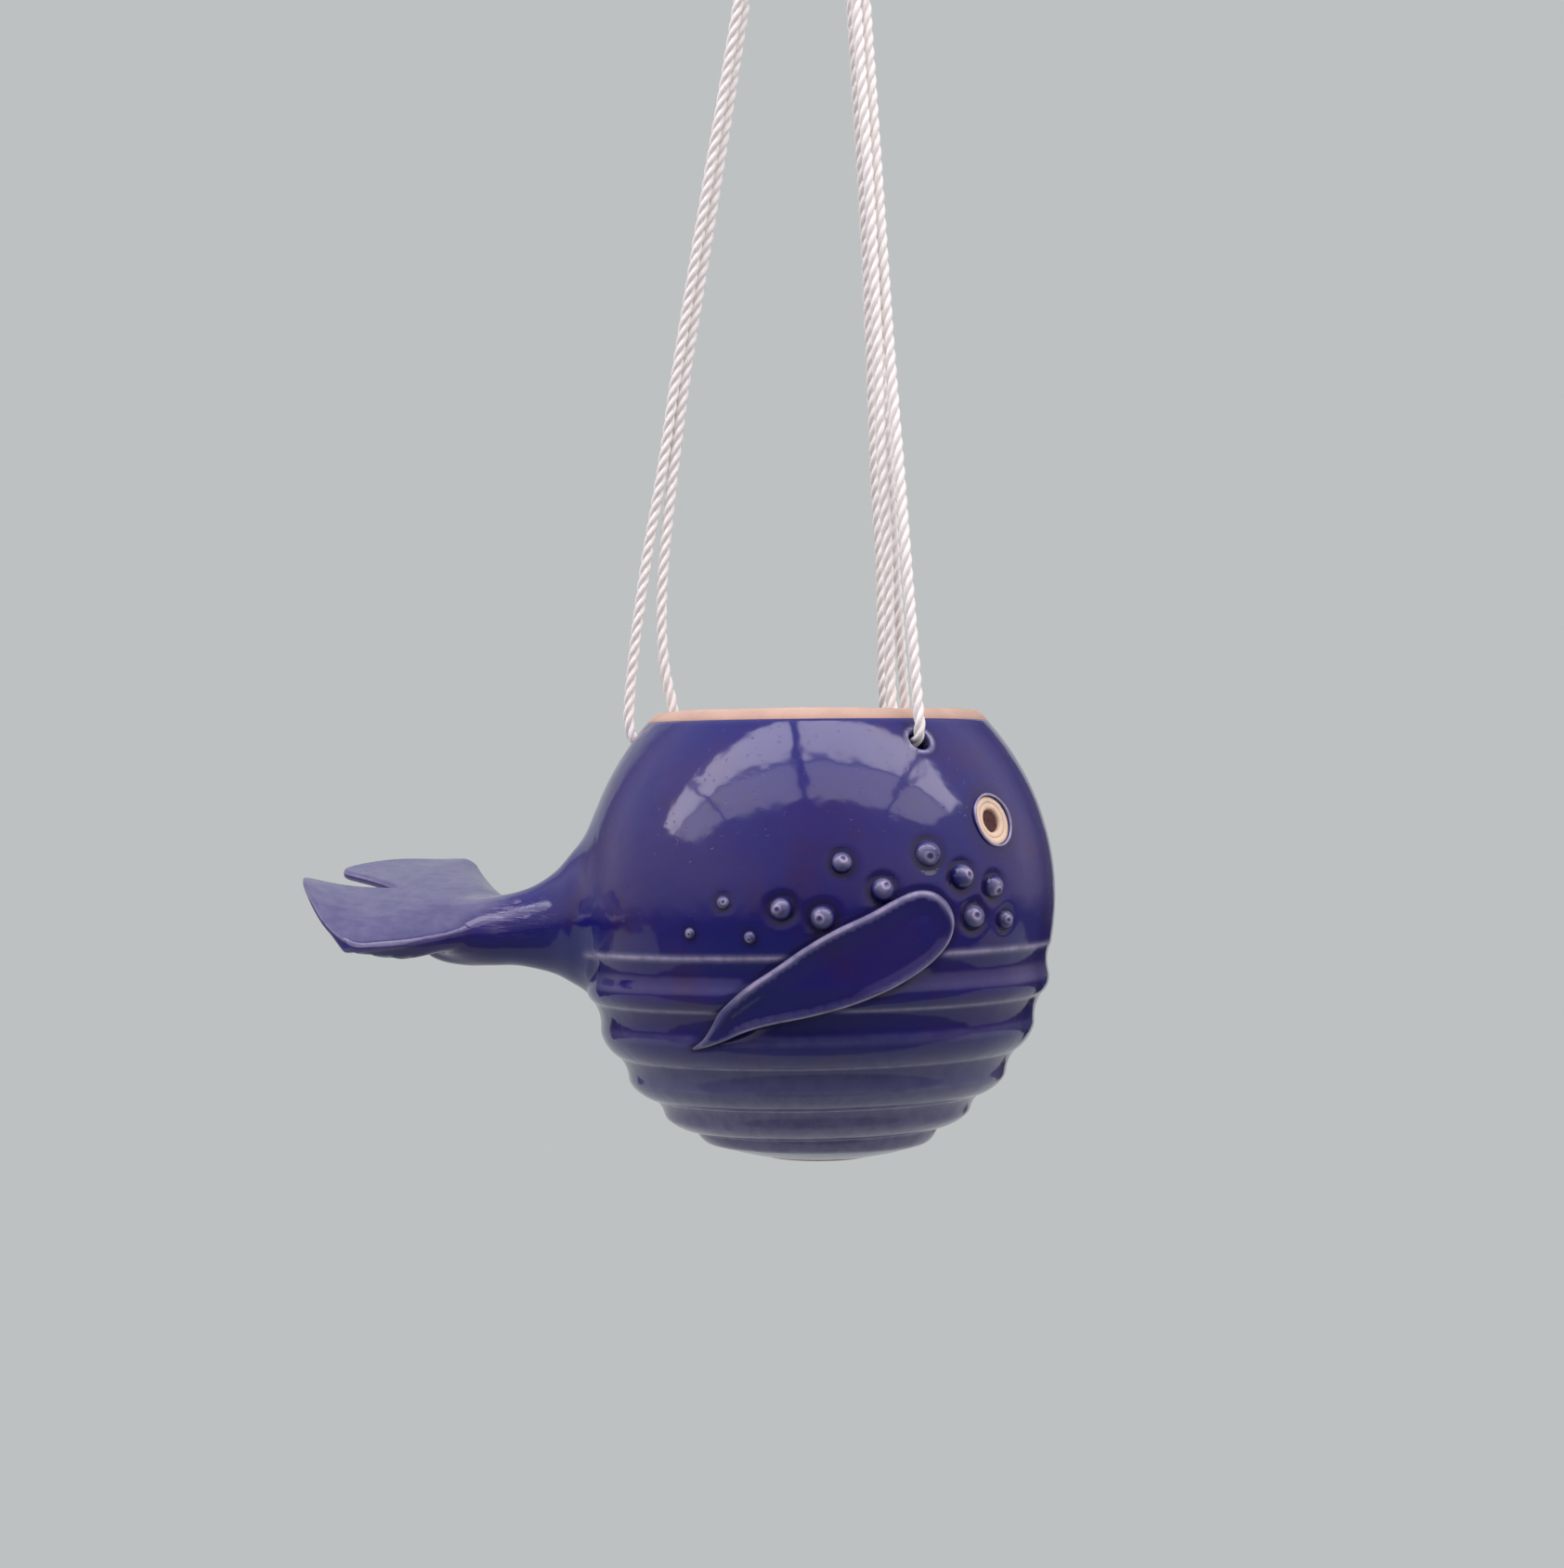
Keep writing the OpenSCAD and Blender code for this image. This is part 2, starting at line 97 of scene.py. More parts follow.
def raw_mesh(name, verts, faces=()):
    """A mesh from points in mm."""
    mesh = bpy.data.meshes.new(name)
    mesh.from_pydata((np.asarray(verts, float) * MM).tolist(), [], [list(f) for f in faces])
    return mesh


def soften(mesh):
    mesh.polygons.foreach_set("use_smooth", [True] * len(mesh.polygons))


def store(mesh, name, values):
    """Keep one number per vertex for the material to read."""
    layer = mesh.attributes.new(name, "FLOAT", "POINT")
    layer.data.foreach_set("value", np.asarray(values, np.float32))


def settle(obj, body, slot, *nodes):
    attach(obj, body)
    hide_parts(*nodes)


def piece(name, verts, faces, body, slot, node, material, **kept):
    """A smooth piece that rides on a body and stands for a CAD node, with the numbers to keep on it."""
    mesh = raw_mesh(name, verts, faces)
    mesh.validate()
    soften(mesh)
    obj = new_object(name, mesh)
    settle(obj, body, slot, node)
    for key, values in kept.items():
        store(mesh, key, values)
    mesh.materials.append(material)
    return obj


def read(items, key, width, kind=float):
    """One property of all vertices or edges, with a row for each."""
    values = np.empty(len(items) * width, kind)
    items.foreach_get(key, values)
    return values.reshape(-1, width)


def points_of(mesh):
    return read(mesh.vertices, "co", 3) / MM


def nearest_of(points, others):
    """For each of the others, the index of the nearest point and its distance."""
    tree = kdtree.KDTree(len(points))
    for k, p in enumerate(points):
        tree.insert(p, k)
    tree.balance()
    found = [tree.find(p) for p in others]
    return np.array([f[1] for f in found]), np.array([f[2] for f in found])


def evaluated(obj):
    """The mesh that an object's modifiers make."""
    bpy.context.view_layer.update()
    graph = bpy.context.evaluated_depsgraph_get()
    return bpy.data.meshes.new_from_object(obj.evaluated_get(graph), depsgraph=graph)


def combined(obj, other, operation):
    """The mesh of an object once another is added or cut away. The other is used up."""
    modifier = obj.modifiers.new("combined", "BOOLEAN")
    modifier.operation, modifier.solver, modifier.object = operation, "EXACT", other
    mesh = evaluated(obj)
    obj.modifiers.clear()
    bpy.data.objects.remove(other)
    return mesh


def with_neighbours(total, values, a, b):
    """Add to each vertex the values at the other ends of its edges."""
    np.add.at(total, a, values[b])
    np.add.at(total, b, values[a])
    return total


def bend_of(mesh):
    """How sharply the surface turns outwards at each vertex, in 1/mm (hollows are negative)."""
    co = points_of(mesh)
    n = read(mesh.vertex_normals, "vector", 3)
    a, b = read(mesh.edges, "vertices", 2, int).T
    d = co[a] - co[b]
    length2 = np.maximum((d * d).sum(1), 1e-6)
    top = np.full(len(co), -9.0)
    low = np.full(len(co), 9.0)
    for i, k in ((a, 2 * (n[a] * d).sum(1) / length2), (b, -2 * (n[b] * d).sum(1) / length2)):
        np.maximum.at(top, i, k)
        np.minimum.at(low, i, k)
    bend = np.where(top + low > 0, top, low)
    count = np.bincount(a, minlength=len(co)) + np.bincount(b, minlength=len(co)) + 1
    for _ in range(2):
        bend = with_neighbours(bend.copy(), bend, a, b) / count
    return bend


class Network:
    """A node tree that is put together one node at a time."""

    def __init__(self, tree):
        self.tree = tree
        self.place = 0

    def feed(self, socket, value):
        if isinstance(value, bpy.types.NodeSocket):
            self.tree.links.new(value, socket)
        else:
            socket.default_value = value

    def add(self, kind, inputs=None, **props):
        node = self.tree.nodes.new(kind)
        node.location = (220 * (self.place % 6), -260 * (self.place // 6))
        self.place += 1
        for key, value in props.items():
            setattr(node, key, value)
        for key, value in (inputs or {}).items():
            self.feed(node.inputs[key], value)
        return node

    def math(self, op, a, b=0.0, clamp=False):
        return self.add("ShaderNodeMath", {0: a, 1: b}, operation=op, use_clamp=clamp).outputs[0]

    def times(self, a, b):
        return self.math("MULTIPLY", a, b)

    def span(self, value, lo, hi, to_lo=0.0, to_hi=1.0, kind="SMOOTHSTEP"):
        return self.add("ShaderNodeMapRange", {
            "Value": value, "From Min": lo, "From Max": hi, "To Min": to_lo, "To Max": to_hi},
            interpolation_type=kind).outputs["Result"]


class Shader(Network):
    """A material under construction."""

    def __init__(self, name):
        self.material = bpy.data.materials.new(name)
        self.material.use_nodes = True
        super().__init__(self.material.node_tree)
        self.tree.nodes.clear()

    def attribute(self, name):
        return self.add("ShaderNodeAttribute", attribute_name=name).outputs["Fac"]

    def noise(self, scale, detail=3.0, rough=0.5, where=None):
        where = where or self.add("ShaderNodeTexCoord").outputs["Object"]
        return self.add("ShaderNodeTexNoise", {"Vector": where, "Scale": scale, "Detail": detail,
                                               "Roughness": rough}).outputs["Fac"]

    def mix(self, fac, a, b):
        node = self.add("ShaderNodeMix", data_type="RGBA")
        for key, value in (("Factor", fac), ("A", a), ("B", b)):
            self.feed([s for s in node.inputs if s.name == key and s.enabled][0], value)
        return [s for s in node.outputs if s.enabled][0]

    def bump(self, height, strength, distance):
        return self.add("ShaderNodeBump", {"Height": height, "Strength": strength,
                                           "Distance": distance}).outputs["Normal"]

    def finish(self, inputs):
        shader = self.add("ShaderNodeBsdfPrincipled", inputs)
        self.add("ShaderNodeOutputMaterial", {"Surface": shader.outputs[0]})
        return self.material


# %% [markdown]
# ## Glaze, clay, cord and steel
# The glaze is a dark cobalt glass. It runs thin over every edge and knob, where the pale clay shows
# through it as lavender grey, and it pools almost black in every hollow. Both mostly come from the
# shape: each mesh stores how thin the glaze is on it and how deep it lies (pool). On the upper face of
# the flukes the thin value also holds a painted reflection of the bright sky.

# %% Materials
def glaze_material():
    s = Shader("cobalt_glaze")
    thin = s.attribute("thin")
    pool = s.attribute("pool")
    cloud = s.noise(38, 3)
    mottle = s.noise(260, 4, 0.6)
    speck = s.noise(1500, 2)
    base = s.mix(s.span(cloud, 0.35, 0.68), (0.012, 0.0115, 0.145, 1), (0.025, 0.0145, 0.134, 1))
    base = s.mix(s.times(s.span(mottle, 0.45, 0.75), 0.35), base, (0.009, 0.016, 0.160, 1))
    wine = s.span(s.noise(75, 3, 0.55), 0.54, 0.70)
    base = s.mix(s.times(wine, 0.40), base, (0.036, 0.011, 0.066, 1))
    base = s.mix(pool, base, (0.015, 0.0105, 0.056, 1))
    # Thin glaze shows the pale clay; on the flukes' upper face this also carries a painted reflection of
    # the sky
    worn_and_sheen = s.math("MULTIPLY", thin, s.span(mottle, 0.2, 0.7, 0.72, 1.0), clamp=True)
    violet = s.mix(s.span(worn_and_sheen, 0.0, 0.45), base, (0.098, 0.099, 0.212, 1))
    colour = s.mix(s.span(worn_and_sheen, 0.35, 1.0), violet, (0.44, 0.38, 0.55, 1))
    colour = s.mix(s.span(speck, 0.72, 0.80, 0.0, 0.25), colour, (0.10, 0.08, 0.16, 1))
    rough = s.span(worn_and_sheen, 0.2, 1.0, 0.10, 0.24)
    scrape = s.attribute("scrape")
    along = s.add("ShaderNodeMapping", {"Vector": s.add("ShaderNodeTexCoord").outputs["Object"],
                                        "Rotation": (0.0, math.radians(30), 0.0),
                                        "Scale": (75.0, 500.0, 1500.0)}).outputs[0]
    streak = s.noise(1.0, 3, 0.6, along)
    scratch = s.times(scrape, s.span(streak, 0.52, 0.66))
    colour = s.mix(s.times(scratch, 0.55), colour, (0.30, 0.26, 0.42, 1))
    wave = s.noise(95, 2)
    pits = s.span(s.noise(900, 1), 0.70, 0.78, 0.0, -1.0)
    height = s.math("ADD", wave, s.times(pits, 0.10))
    height = s.math("ADD", height, s.times(s.times(streak, scrape), 0.5))
    return s.finish({"Base Color": colour, "Roughness": rough, "IOR": 1.52,
                     "Normal": s.bump(height, 0.35, 0.0007)})


def darker(colour, share):
    return tuple(share * c for c in colour[:3]) + (1,)


def clay_material(name, pale, brown, grain):
    s = Shader(name)
    body = s.mix(s.span(s.noise(120, 4), 0.35, 0.7), pale, darker(pale, 0.86))
    specks = s.span(s.noise(2200, 2), 0.68, 0.76)
    body = s.mix(s.times(specks, 0.55), body, darker(pale, 0.35))
    colour = s.mix(s.attribute("stain"), body, brown)
    normal = s.bump(s.noise(1800, 4, 0.7), 0.5, grain)
    return s.finish({"Base Color": colour, "Roughness": 0.78, "IOR": 1.45, "Normal": normal})


def cord_material():
    s = Shader("twisted_cotton")
    fibre = s.noise(2600, 3, 0.7)
    colour = s.mix(s.span(s.noise(300, 2), 0.3, 0.7), (0.99, 0.97, 0.90, 1), (0.97, 0.935, 0.86, 1))
    colour = s.mix(s.span(fibre, 0.35, 0.8, 0.0, 0.35), colour, (1.0, 0.985, 0.93, 1))
    # Painted shade in the grooves between the strands: the deeper a point lies, the darker it is painted
    colour = s.mix(s.times(s.attribute("groove_shade"), 0.26), colour, (0.72, 0.58, 0.52, 1))
    normal = s.bump(fibre, 0.45, 0.00012)
    return s.finish({"Base Color": colour, "Roughness": 0.85, "Sheen Weight": 0.8, "Normal": normal})


def steel_material():
    s = Shader("nickel_steel")
    scratch = s.noise(1400, 3)
    colour = s.mix(s.span(s.noise(200, 3), 0.3, 0.7), (0.62, 0.61, 0.59, 1), (0.50, 0.49, 0.48, 1))
    return s.finish({"Base Color": colour, "Metallic": 1.0,
                     "Roughness": s.span(scratch, 0.3, 0.8, 0.18, 0.36),
                     "Normal": s.bump(scratch, 0.2, 0.00005)})


GLAZE = glaze_material()
BARE = clay_material("bare_stoneware", (0.57, 0.395, 0.307, 1), (0.42, 0.22, 0.12, 1), 0.00012)
EYE_CLAY = clay_material("cream_slip", (0.90, 0.70, 0.50, 1), (0.30, 0.13, 0.08, 1), 0.00010)
PUPIL_CLAY = clay_material("iron_clay", (0.095, 0.034, 0.030, 1), (0.02, 0.012, 0.01, 1), 0.0004)
CORD = cord_material()
STEEL = steel_material()


# %% [markdown]
# ## The cords
# Each cord is one piece of soft white three-strand cord. It leaves the knot, runs down, goes in
# through its hole in the pot's shoulder, bears on the upper edge of the hole and climbs back to the
# knot. Rope is a rule as much as a thing, so it is made with geometry nodes: three thin
# tubes ride round the same route and turn once in every lay.

# %% Cord routes
HOLES = (31, 149, -90)      # turned from the right side towards the nose, the last one at the tail
KNOT_X = 1.4                # the knot hangs this far ahead of the pot's middle
KNOT_RISE = 289             # height over the rim at which the legs enter the knot

front_route = [
    (2.6, 1.3, 296.5), (3.9, 1.4, 288.8), (11.1, 1.4, 235), (18.3, 1.4, 180), (26.3, 1.4, 120),
    (30.6, 1.4, 88), (35.6, 1, 60), (40.4, 0.2, 36), (46.2, 0, 0),
    (46.9, 0, -4), (46.5, 0, -7), (44.9, 0, -8.3), (43.1, 0, -9.6),
    (41.3, 0, -10.4), (38.9, 0, -10.1), (37, 0, -8.8), (35.9, 0, -6),
    (34.2, 0, 4), (33.2, -0.4, 36), (31.6, -1.2, 60), (26.3, -1.4, 120),
    (18.3, -1.4, 180), (3.9, -1.4, 288.8), (2.6, -1.3, 296.5)]
tail_route = [
    (2.6, 1.3, 296.5), (4.1, 1.4, 288.8), (20.6, 1.15, 180), (30.3, 0.8, 121),
    (36.6, 0.5, 81), (39.3, 0.3, 62), (43.2, 0, 39), (45.8, 0, 20), (47.4, 0, 4),
    (47.6, 0, -3), (46.6, 0, -7), (44.9, 0, -8.3), (43.1, 0, -9.6),
    (41.3, 0, -10.4), (38.9, 0, -10.1), (37, 0, -8.8), (35.9, 0, -6),
    (36.4, 0, 0), (38.8, 0, 12), (39.4, 0, 30), (34.2, -0.4, 81),
    (28.1, -0.6, 121), (19.1, -1.15, 180), (3.7, -1.4, 288.8), (2.2, -1.3, 296.5)]
loop_side = [(-1.8, -42), (-3, -36.5), (-4.5, -29), (-4.1, -21), (-2.95, -16.75), (-2.065, -14.685)]


def outward(angle):
    """Unit vector out of the pot at an angle from the whale's right side towards its nose."""
    a = math.radians(angle)
    return np.array([math.sin(a), -math.cos(a), 0.0])


def along(angle):
    """Unit vector along the wall at that angle."""
    a = math.radians(angle)
    return np.array([math.cos(a), math.sin(a), 0.0])


def on_route(route, angle, hand):
    """A route of (out from the middle, along the wall, height over the rim), set in space."""
    return np.array([out * outward(angle) + hand * side * along(angle)
                     + np.array([KNOT_X * max(0, up) / KNOT_RISE, 0, RIM + up])
                     for out, side, up in route])


def steps(points):
    """Distance from the first point to each one along a line."""
    return np.concatenate([[0], np.cumsum(np.linalg.norm(np.diff(points, axis=0), axis=1))])


def curve_through(points, step, closed=False):
    """Points every step mm along an even curve through the given ones."""
    p = np.asarray(points, float)
    n = len(p)
    if closed:
        p = np.vstack([p[-1], p, p[0], p[1]])
    else:
        p = np.vstack([2 * p[0] - p[1], p, 2 * p[-1] - p[-2]])
    knots = np.concatenate([[0], np.cumsum(np.linalg.norm(np.diff(p, axis=0), axis=1) ** 0.5)])
    out = []
    for i in range(1, (n if closed else n - 1) + 1):
        t0, t1, t2, t3 = knots[i - 1:i + 3]
        t = np.linspace(t1, t2, 60, endpoint=False)[:, None]
        a1 = (t1 - t) / (t1 - t0) * p[i - 1] + (t - t0) / (t1 - t0) * p[i]
        a2 = (t2 - t) / (t2 - t1) * p[i] + (t - t1) / (t2 - t1) * p[i + 1]
        a3 = (t3 - t) / (t3 - t2) * p[i + 1] + (t - t2) / (t3 - t2) * p[i + 2]
        b1 = (t2 - t) / (t2 - t0) * a1 + (t - t0) / (t2 - t0) * a2
        b2 = (t3 - t) / (t3 - t1) * a2 + (t - t1) / (t3 - t1) * a3
        out.append((t2 - t) / (t2 - t1) * b1 + (t - t1) / (t2 - t1) * b2)
    out = np.vstack(out + ([out[0][:1]] if closed else [p[-2:-1]]))
    s = steps(out)
    count = max(2, int(round(s[-1] / step)))
    at = np.linspace(0, s[-1], count + 1)[:-1 if closed else None]
    return np.column_stack([np.interp(at, s, out[:, k]) for k in range(out.shape[1])])


def length_of(points):
    return float(np.linalg.norm(np.diff(points, axis=0), axis=1).sum())


# %% Rope in geometry nodes
class Graph(Network):
    """A geometry node group under construction."""

    def __init__(self, name, inputs):
        super().__init__(bpy.data.node_groups.new(name, "GeometryNodeTree"))
        face = self.tree.interface
        face.new_socket("Geometry", in_out="INPUT", socket_type="NodeSocketGeometry")
        face.new_socket("Geometry", in_out="OUTPUT", socket_type="NodeSocketGeometry")
        for label, kind in inputs.items():
            face.new_socket(label, in_out="INPUT", socket_type="NodeSocket" + kind)
        self.start = self.tree.nodes.new("NodeGroupInput").outputs
        self.end = self.tree.nodes.new("NodeGroupOutput").inputs

    def vector(self, op, a, b):
        second = "Scale" if op == "SCALE" else 1
        return self.add("ShaderNodeVectorMath", {0: a, second: b}, operation=op).outputs[0]

    def close(self, geometry):
        """Give what was made its material and hand it out."""
        done = self.add("GeometryNodeSetMaterial", {"Geometry": geometry,
                                                    "Material": self.start["Material"]})
        self.tree.links.new(done.outputs[0], self.end["Geometry"])
        return self


def grow(source, graph, settings, name):
    """Run a node group on an object, keep the mesh it makes, and remove the object."""
    modifier = source.modifiers.new("grow", "NODES")
    modifier.node_group = graph.tree
    for item in graph.tree.interface.items_tree:
        if item.name in settings:
            modifier[item.identifier] = settings[item.name]
    mesh = evaluated(source)
    mesh.name = name
    source.modifiers.clear()
    bpy.data.objects.remove(source)
    return new_object(name, mesh)


STRAND_AWAY, STRAND_R = 0.51, 0.545      # of the cord's radius


def rope_graph():
    g = Graph("three_strand_rope", {"Cord radius": "Float", "Lay": "Float", "Step": "Float",
                                    "Strands": "Int", "Sides": "Int", "Material": "Material"})
    i = g.start
    even = g.add("GeometryNodeResampleCurve", {"Curve": i["Geometry"], "Length": i["Step"]},
                 mode="LENGTH").outputs[0]
    copies = g.add("GeometryNodeDuplicateElements", {"Geometry": even, "Amount": i["Strands"]},
                   domain="SPLINE")
    run = g.add("GeometryNodeSplineParameter").outputs["Length"]
    turn = g.times(g.math("DIVIDE", run, i["Lay"]), 2 * math.pi)
    share = g.math("DIVIDE", copies.outputs["Duplicate Index"], i["Strands"])
    angle = g.math("ADD", turn, g.times(share, 2 * math.pi))
    normal = g.add("GeometryNodeInputNormal").outputs["Normal"]
    tangent = g.add("GeometryNodeInputTangent").outputs[0]
    side = g.vector("CROSS_PRODUCT", tangent, normal)
    radius = i["Cord radius"]
    away = g.times(radius, STRAND_AWAY)
    offset = g.vector("ADD", g.vector("SCALE", normal, g.times(away, g.math("COSINE", angle))),
                      g.vector("SCALE", side, g.times(away, g.math("SINE", angle))))
    laid = g.add("GeometryNodeSetPosition", {"Geometry": copies.outputs["Geometry"], "Offset": offset})
    ring = g.add("GeometryNodeCurvePrimitiveCircle", {"Resolution": i["Sides"],
                                                      "Radius": g.times(radius, STRAND_R)})
    tube = g.add("GeometryNodeCurveToMesh", {"Curve": laid.outputs[0], "Profile Curve": ring.outputs[0],
                                             "Fill Caps": True})
    soft = g.add("GeometryNodeSetShadeSmooth", {"Geometry": tube.outputs[0]})
    return g.close(g.add("GeometryNodeRealizeInstances", {"Geometry": soft.outputs[0]}).outputs[0])


ROPE = rope_graph()
CORD_D = 2.7


def rope(name, path, step=0.75, sides=9, d=CORD_D, lay=11.0):
    """A twisted cord along a path in mm. It stores how deep each point lies between strands, where the cord
    material paints shade.
    """
    curve = bpy.data.curves.new(name, "CURVE")
    curve.dimensions = "3D"
    spline = curve.splines.new("POLY")
    spline.points.add(len(path) - 1)
    spline.points.foreach_set("co", np.column_stack([path * MM, np.ones(len(path))]).ravel())
    made = grow(new_object(name, curve), ROPE, {
        "Cord radius": d / 2 * MM, "Lay": lay * MM, "Step": step * MM, "Strands": 3, "Sides": sides,
        "Material": CORD}, name)
    _, out = nearest_of(path, points_of(made.data))
    store(made.data, "groove_shade", 1 - smooth(0.25 * d, 0.47 * d, out))
    return made


cord_paths = {}
cords = {}
for name, route, angle, hand in zip(("cord_front_right", "cord_front_left", "cord_tail"),
                                    (front_route, front_route, tail_route), HOLES, (1, -1, 1)):
    cord_paths[name] = curve_through(on_route(route, angle, hand), 0.7)
    cords[name] = rope(name + "_rope", cord_paths[name])
    settle(cords[name], "planter", "cord", name)
    print(name, "is", round(length_of(cord_paths[name])), "mm long,",
          len(cords[name].data.polygons), "faces")

# The loop leans ahead from under the ring to the knot
LEAN_FROM, LEAN_TALL, LOOP_TOP = -16.75, 25.25, (0, -13.8)
loop_points = loop_side + [LOOP_TOP] + [(-y, z) for y, z in loop_side[::-1]]
loop_path = curve_through([(KNOT_X * max(0, LEAN_FROM - z) / LEAN_TALL, y, z) for y, z in loop_points], 0.5)
loop = rope("hanging_loop_rope", loop_path, step=0.6)
settle(loop, "loop", "cord", "hanging_loop")


# %% [markdown]
# ## The thrown pot
# The potter throws a round pot, presses five scooped bands into its lower half with a rib and leaves
# the clay between them round. The profile is written as it was thrown: one long arc for the shoulder
# and belly, then hollow and full bands in turn. The upper edge of each hollow is crisp, and the crest
# under it is soft, so the two kinds of corner are smoothed by different amounts before the profile is
# spun into a mesh.

# %% Profile of the pot
LINES = [(59, 59.3), (58.4, 67), (56.4, 72.2), (54.8, 79.6), (49.9, 86.2),
         (47.6, 92.4), (40.9, 97.1), (38.5, 101.6), (30.7, 105.2), (28.3, 108.6)]
SAGS = [0.75, -0.8, 0.7, -0.8, 0.6, -0.75, 0.5, -0.7, -0.25]
FOOT_EDGE = (13.4, -112.1)
GLAZE_LINE, FOOT = 2.8, -112.5      # where the glaze ends under the rim, and the underside
BALL_R, BALL_DEPTH, BALL_IN = 67.0, 47.5, -7      # the arc of the shoulder and its middle
FINE = 0.05                         # step along the profile while it is worked on
# How thin the glaze is on each line, and how far that reaches along the profile in mm
LINE_GLOW = [(0.82, 0.95), (0.14, 1.6), (0.66, 0.65), (0.24, 1.7), (0.66, 0.7),
             (0.46, 1.9), (0.80, 0.7), (0.52, 1.8), (0.72, 0.9), (0.58, 1.6)]
FIN_PROUD, FIN_SUNK = 2.3, 0.9


def shoulder(depth):
    return BALL_IN + np.sqrt(BALL_R ** 2 - (np.asarray(depth, float) - BALL_DEPTH) ** 2)


def wall_tilt(depth):
    """How far the shoulder faces upwards at a depth, in degrees."""
    return math.degrees(math.asin((BALL_DEPTH - depth) / BALL_R))


def arc(p, q, sag, n):
    p, q = np.array(p, float), np.array(q, float)
    t = np.linspace(0, 1, n, endpoint=False)[:, None]
    u = q - p
    return p + u * t + np.array([[u[1], -u[0]]]) * 4 * sag * t * (1 - t) / np.linalg.norm(u)


def resample(p):
    s = steps(p)
    at = np.linspace(0, s[-1], int(s[-1] / FINE) + 1)
    return np.column_stack([np.interp(at, s, p[:, k]) for k in (0, 1)]), at


def blurred(values, sigma):
    reach = max(1, int(3.5 * sigma / FINE))
    x = np.arange(-reach, reach + 1) * FINE
    w = np.exp(-x * x / (2 * sigma * sigma))
    w /= w.sum()
    if values.ndim == 1:
        return np.convolve(np.pad(values, reach, mode="edge"), w, mode="valid")
    ends = 2 * values[:1] - values[reach:0:-1], 2 * values[-1:] - values[-2:-reach - 2:-1]
    long = np.vstack([ends[0], values, ends[1]])
    return np.column_stack([np.convolve(long[:, k], w, mode="valid") for k in (0, 1)])


def outer_profile():
    """Radius and height of the outside from the glaze line to the foot, which of its points become
    rows of the mesh, and how thin the glaze is on the lines."""
    depth = np.linspace(GLAZE_LINE, LINES[0][1], 400, endpoint=False)
    parts = [np.column_stack([shoulder(depth), -depth])]
    for i in range(len(LINES) - 1):
        p, q = LINES[i], LINES[i + 1]
        parts.append(arc((p[0], -p[1]), (q[0], -q[1]), SAGS[i], 60))
    parts.append(arc((LINES[-1][0], -LINES[-1][1]), FOOT_EDGE, -0.25, 40))
    raw, s = resample(np.vstack(parts + [np.array([FOOT_EDGE])]))
    crest, crisp, bare = np.zeros((3, len(s)))
    for i, (r, d) in enumerate(LINES):
        at = s[np.argmin((raw[:, 0] - r) ** 2 + (raw[:, 1] + d) ** 2)]
        if i % 2:
            crest = np.maximum(crest, bell(s, at, 2.2))
        else:
            crisp = np.maximum(crisp, bell(s, at, 0.9))
        bare = np.maximum(bare, LINE_GLOW[i][0] * bell(s, at, LINE_GLOW[i][1]))
    p = blurred(raw, 0.16) * (1 - crest[:, None]) + blurred(raw, 0.75) * crest[:, None]
    p[0] = raw[0]
    # Rows lie 0.85 mm apart on the shoulder, 0.6 on the bands and 0.17 at the crisp corners
    spacing = 0.85 * (p[:, 1] > -57) + 0.6 * (p[:, 1] <= -57)
    spacing = spacing * (1 - crisp) + 0.17 * crisp
    rows = np.cumsum(FINE / spacing)
    pick = np.searchsorted(rows, np.arange(0, rows[-1], 1.0))
    pick[0] = 0
    return p, pick, bare


PROFILE, PICK, THIN_ROW = outer_profile()
print("profile:", len(PICK), "rows on the outside")

# Glaze along the profile: it pools in every hollow, where the profile bends inwards
step_r, step_z = np.gradient(PROFILE[:, 0], FINE), np.gradient(PROFILE[:, 1], FINE)
bend = step_r * np.gradient(step_z, FINE) - step_z * np.gradient(step_r, FINE)
POOL_ROW = 0.28 * smooth(0.01, 0.12, blurred(blurred(bend, 0.22), 0.6))


def turned(depth):
    """How much higher a ring sits on the whale's nose side: the pot hangs and was trimmed askew."""
    lean = 0.0087 + 0.0133 * smooth(25, 60, depth)
    return lean * (1 - smooth(104, 111, depth))


def wheel_drift(angle, depth):
    """The slight swells that a thrown wall has, in mm."""
    return (-0.12 + 0.09 * np.sin(2 * angle + 0.6 + depth * 0.02) + 0.05 * np.sin(3 * angle + 2.1)
            + 0.03 * np.sin(5 * angle + depth * 0.11)) * smooth(GLAZE_LINE, 12, depth)


# %% [markdown]
# ## What is pressed onto the pot
# The barnacles, fins and eyes are put onto the leather-hard wall. Each one leaves a trace in the pot
# itself: a small moat round every bigger barnacle, a shallow channel along the fins, a pocket for each
# eye. Their places are needed here, before the pot is spun.

# %% Places of the barnacles, fins and eyes
barnacles = [(5, 37, 5.3), (26, 35, 6.6), (14.3, 43.4, 6), (34.7, 40.5, 6.3),
             (44.4, 43, 5.5), (38, 50, 6), (48.5, 51, 4.6), (-8.7, 47.7, 5.5),
             (0.6, 49.8, 6), (-22.4, 46.4, 3.4), (-31, 53.8, 2.9), (-16, 54.4, 3.2)]
EYES, EYE_DEPTH, EYE_TILT = (47.7, 180 - 47.7), 27.1, 17
HOLE_DEPTH = 7.8

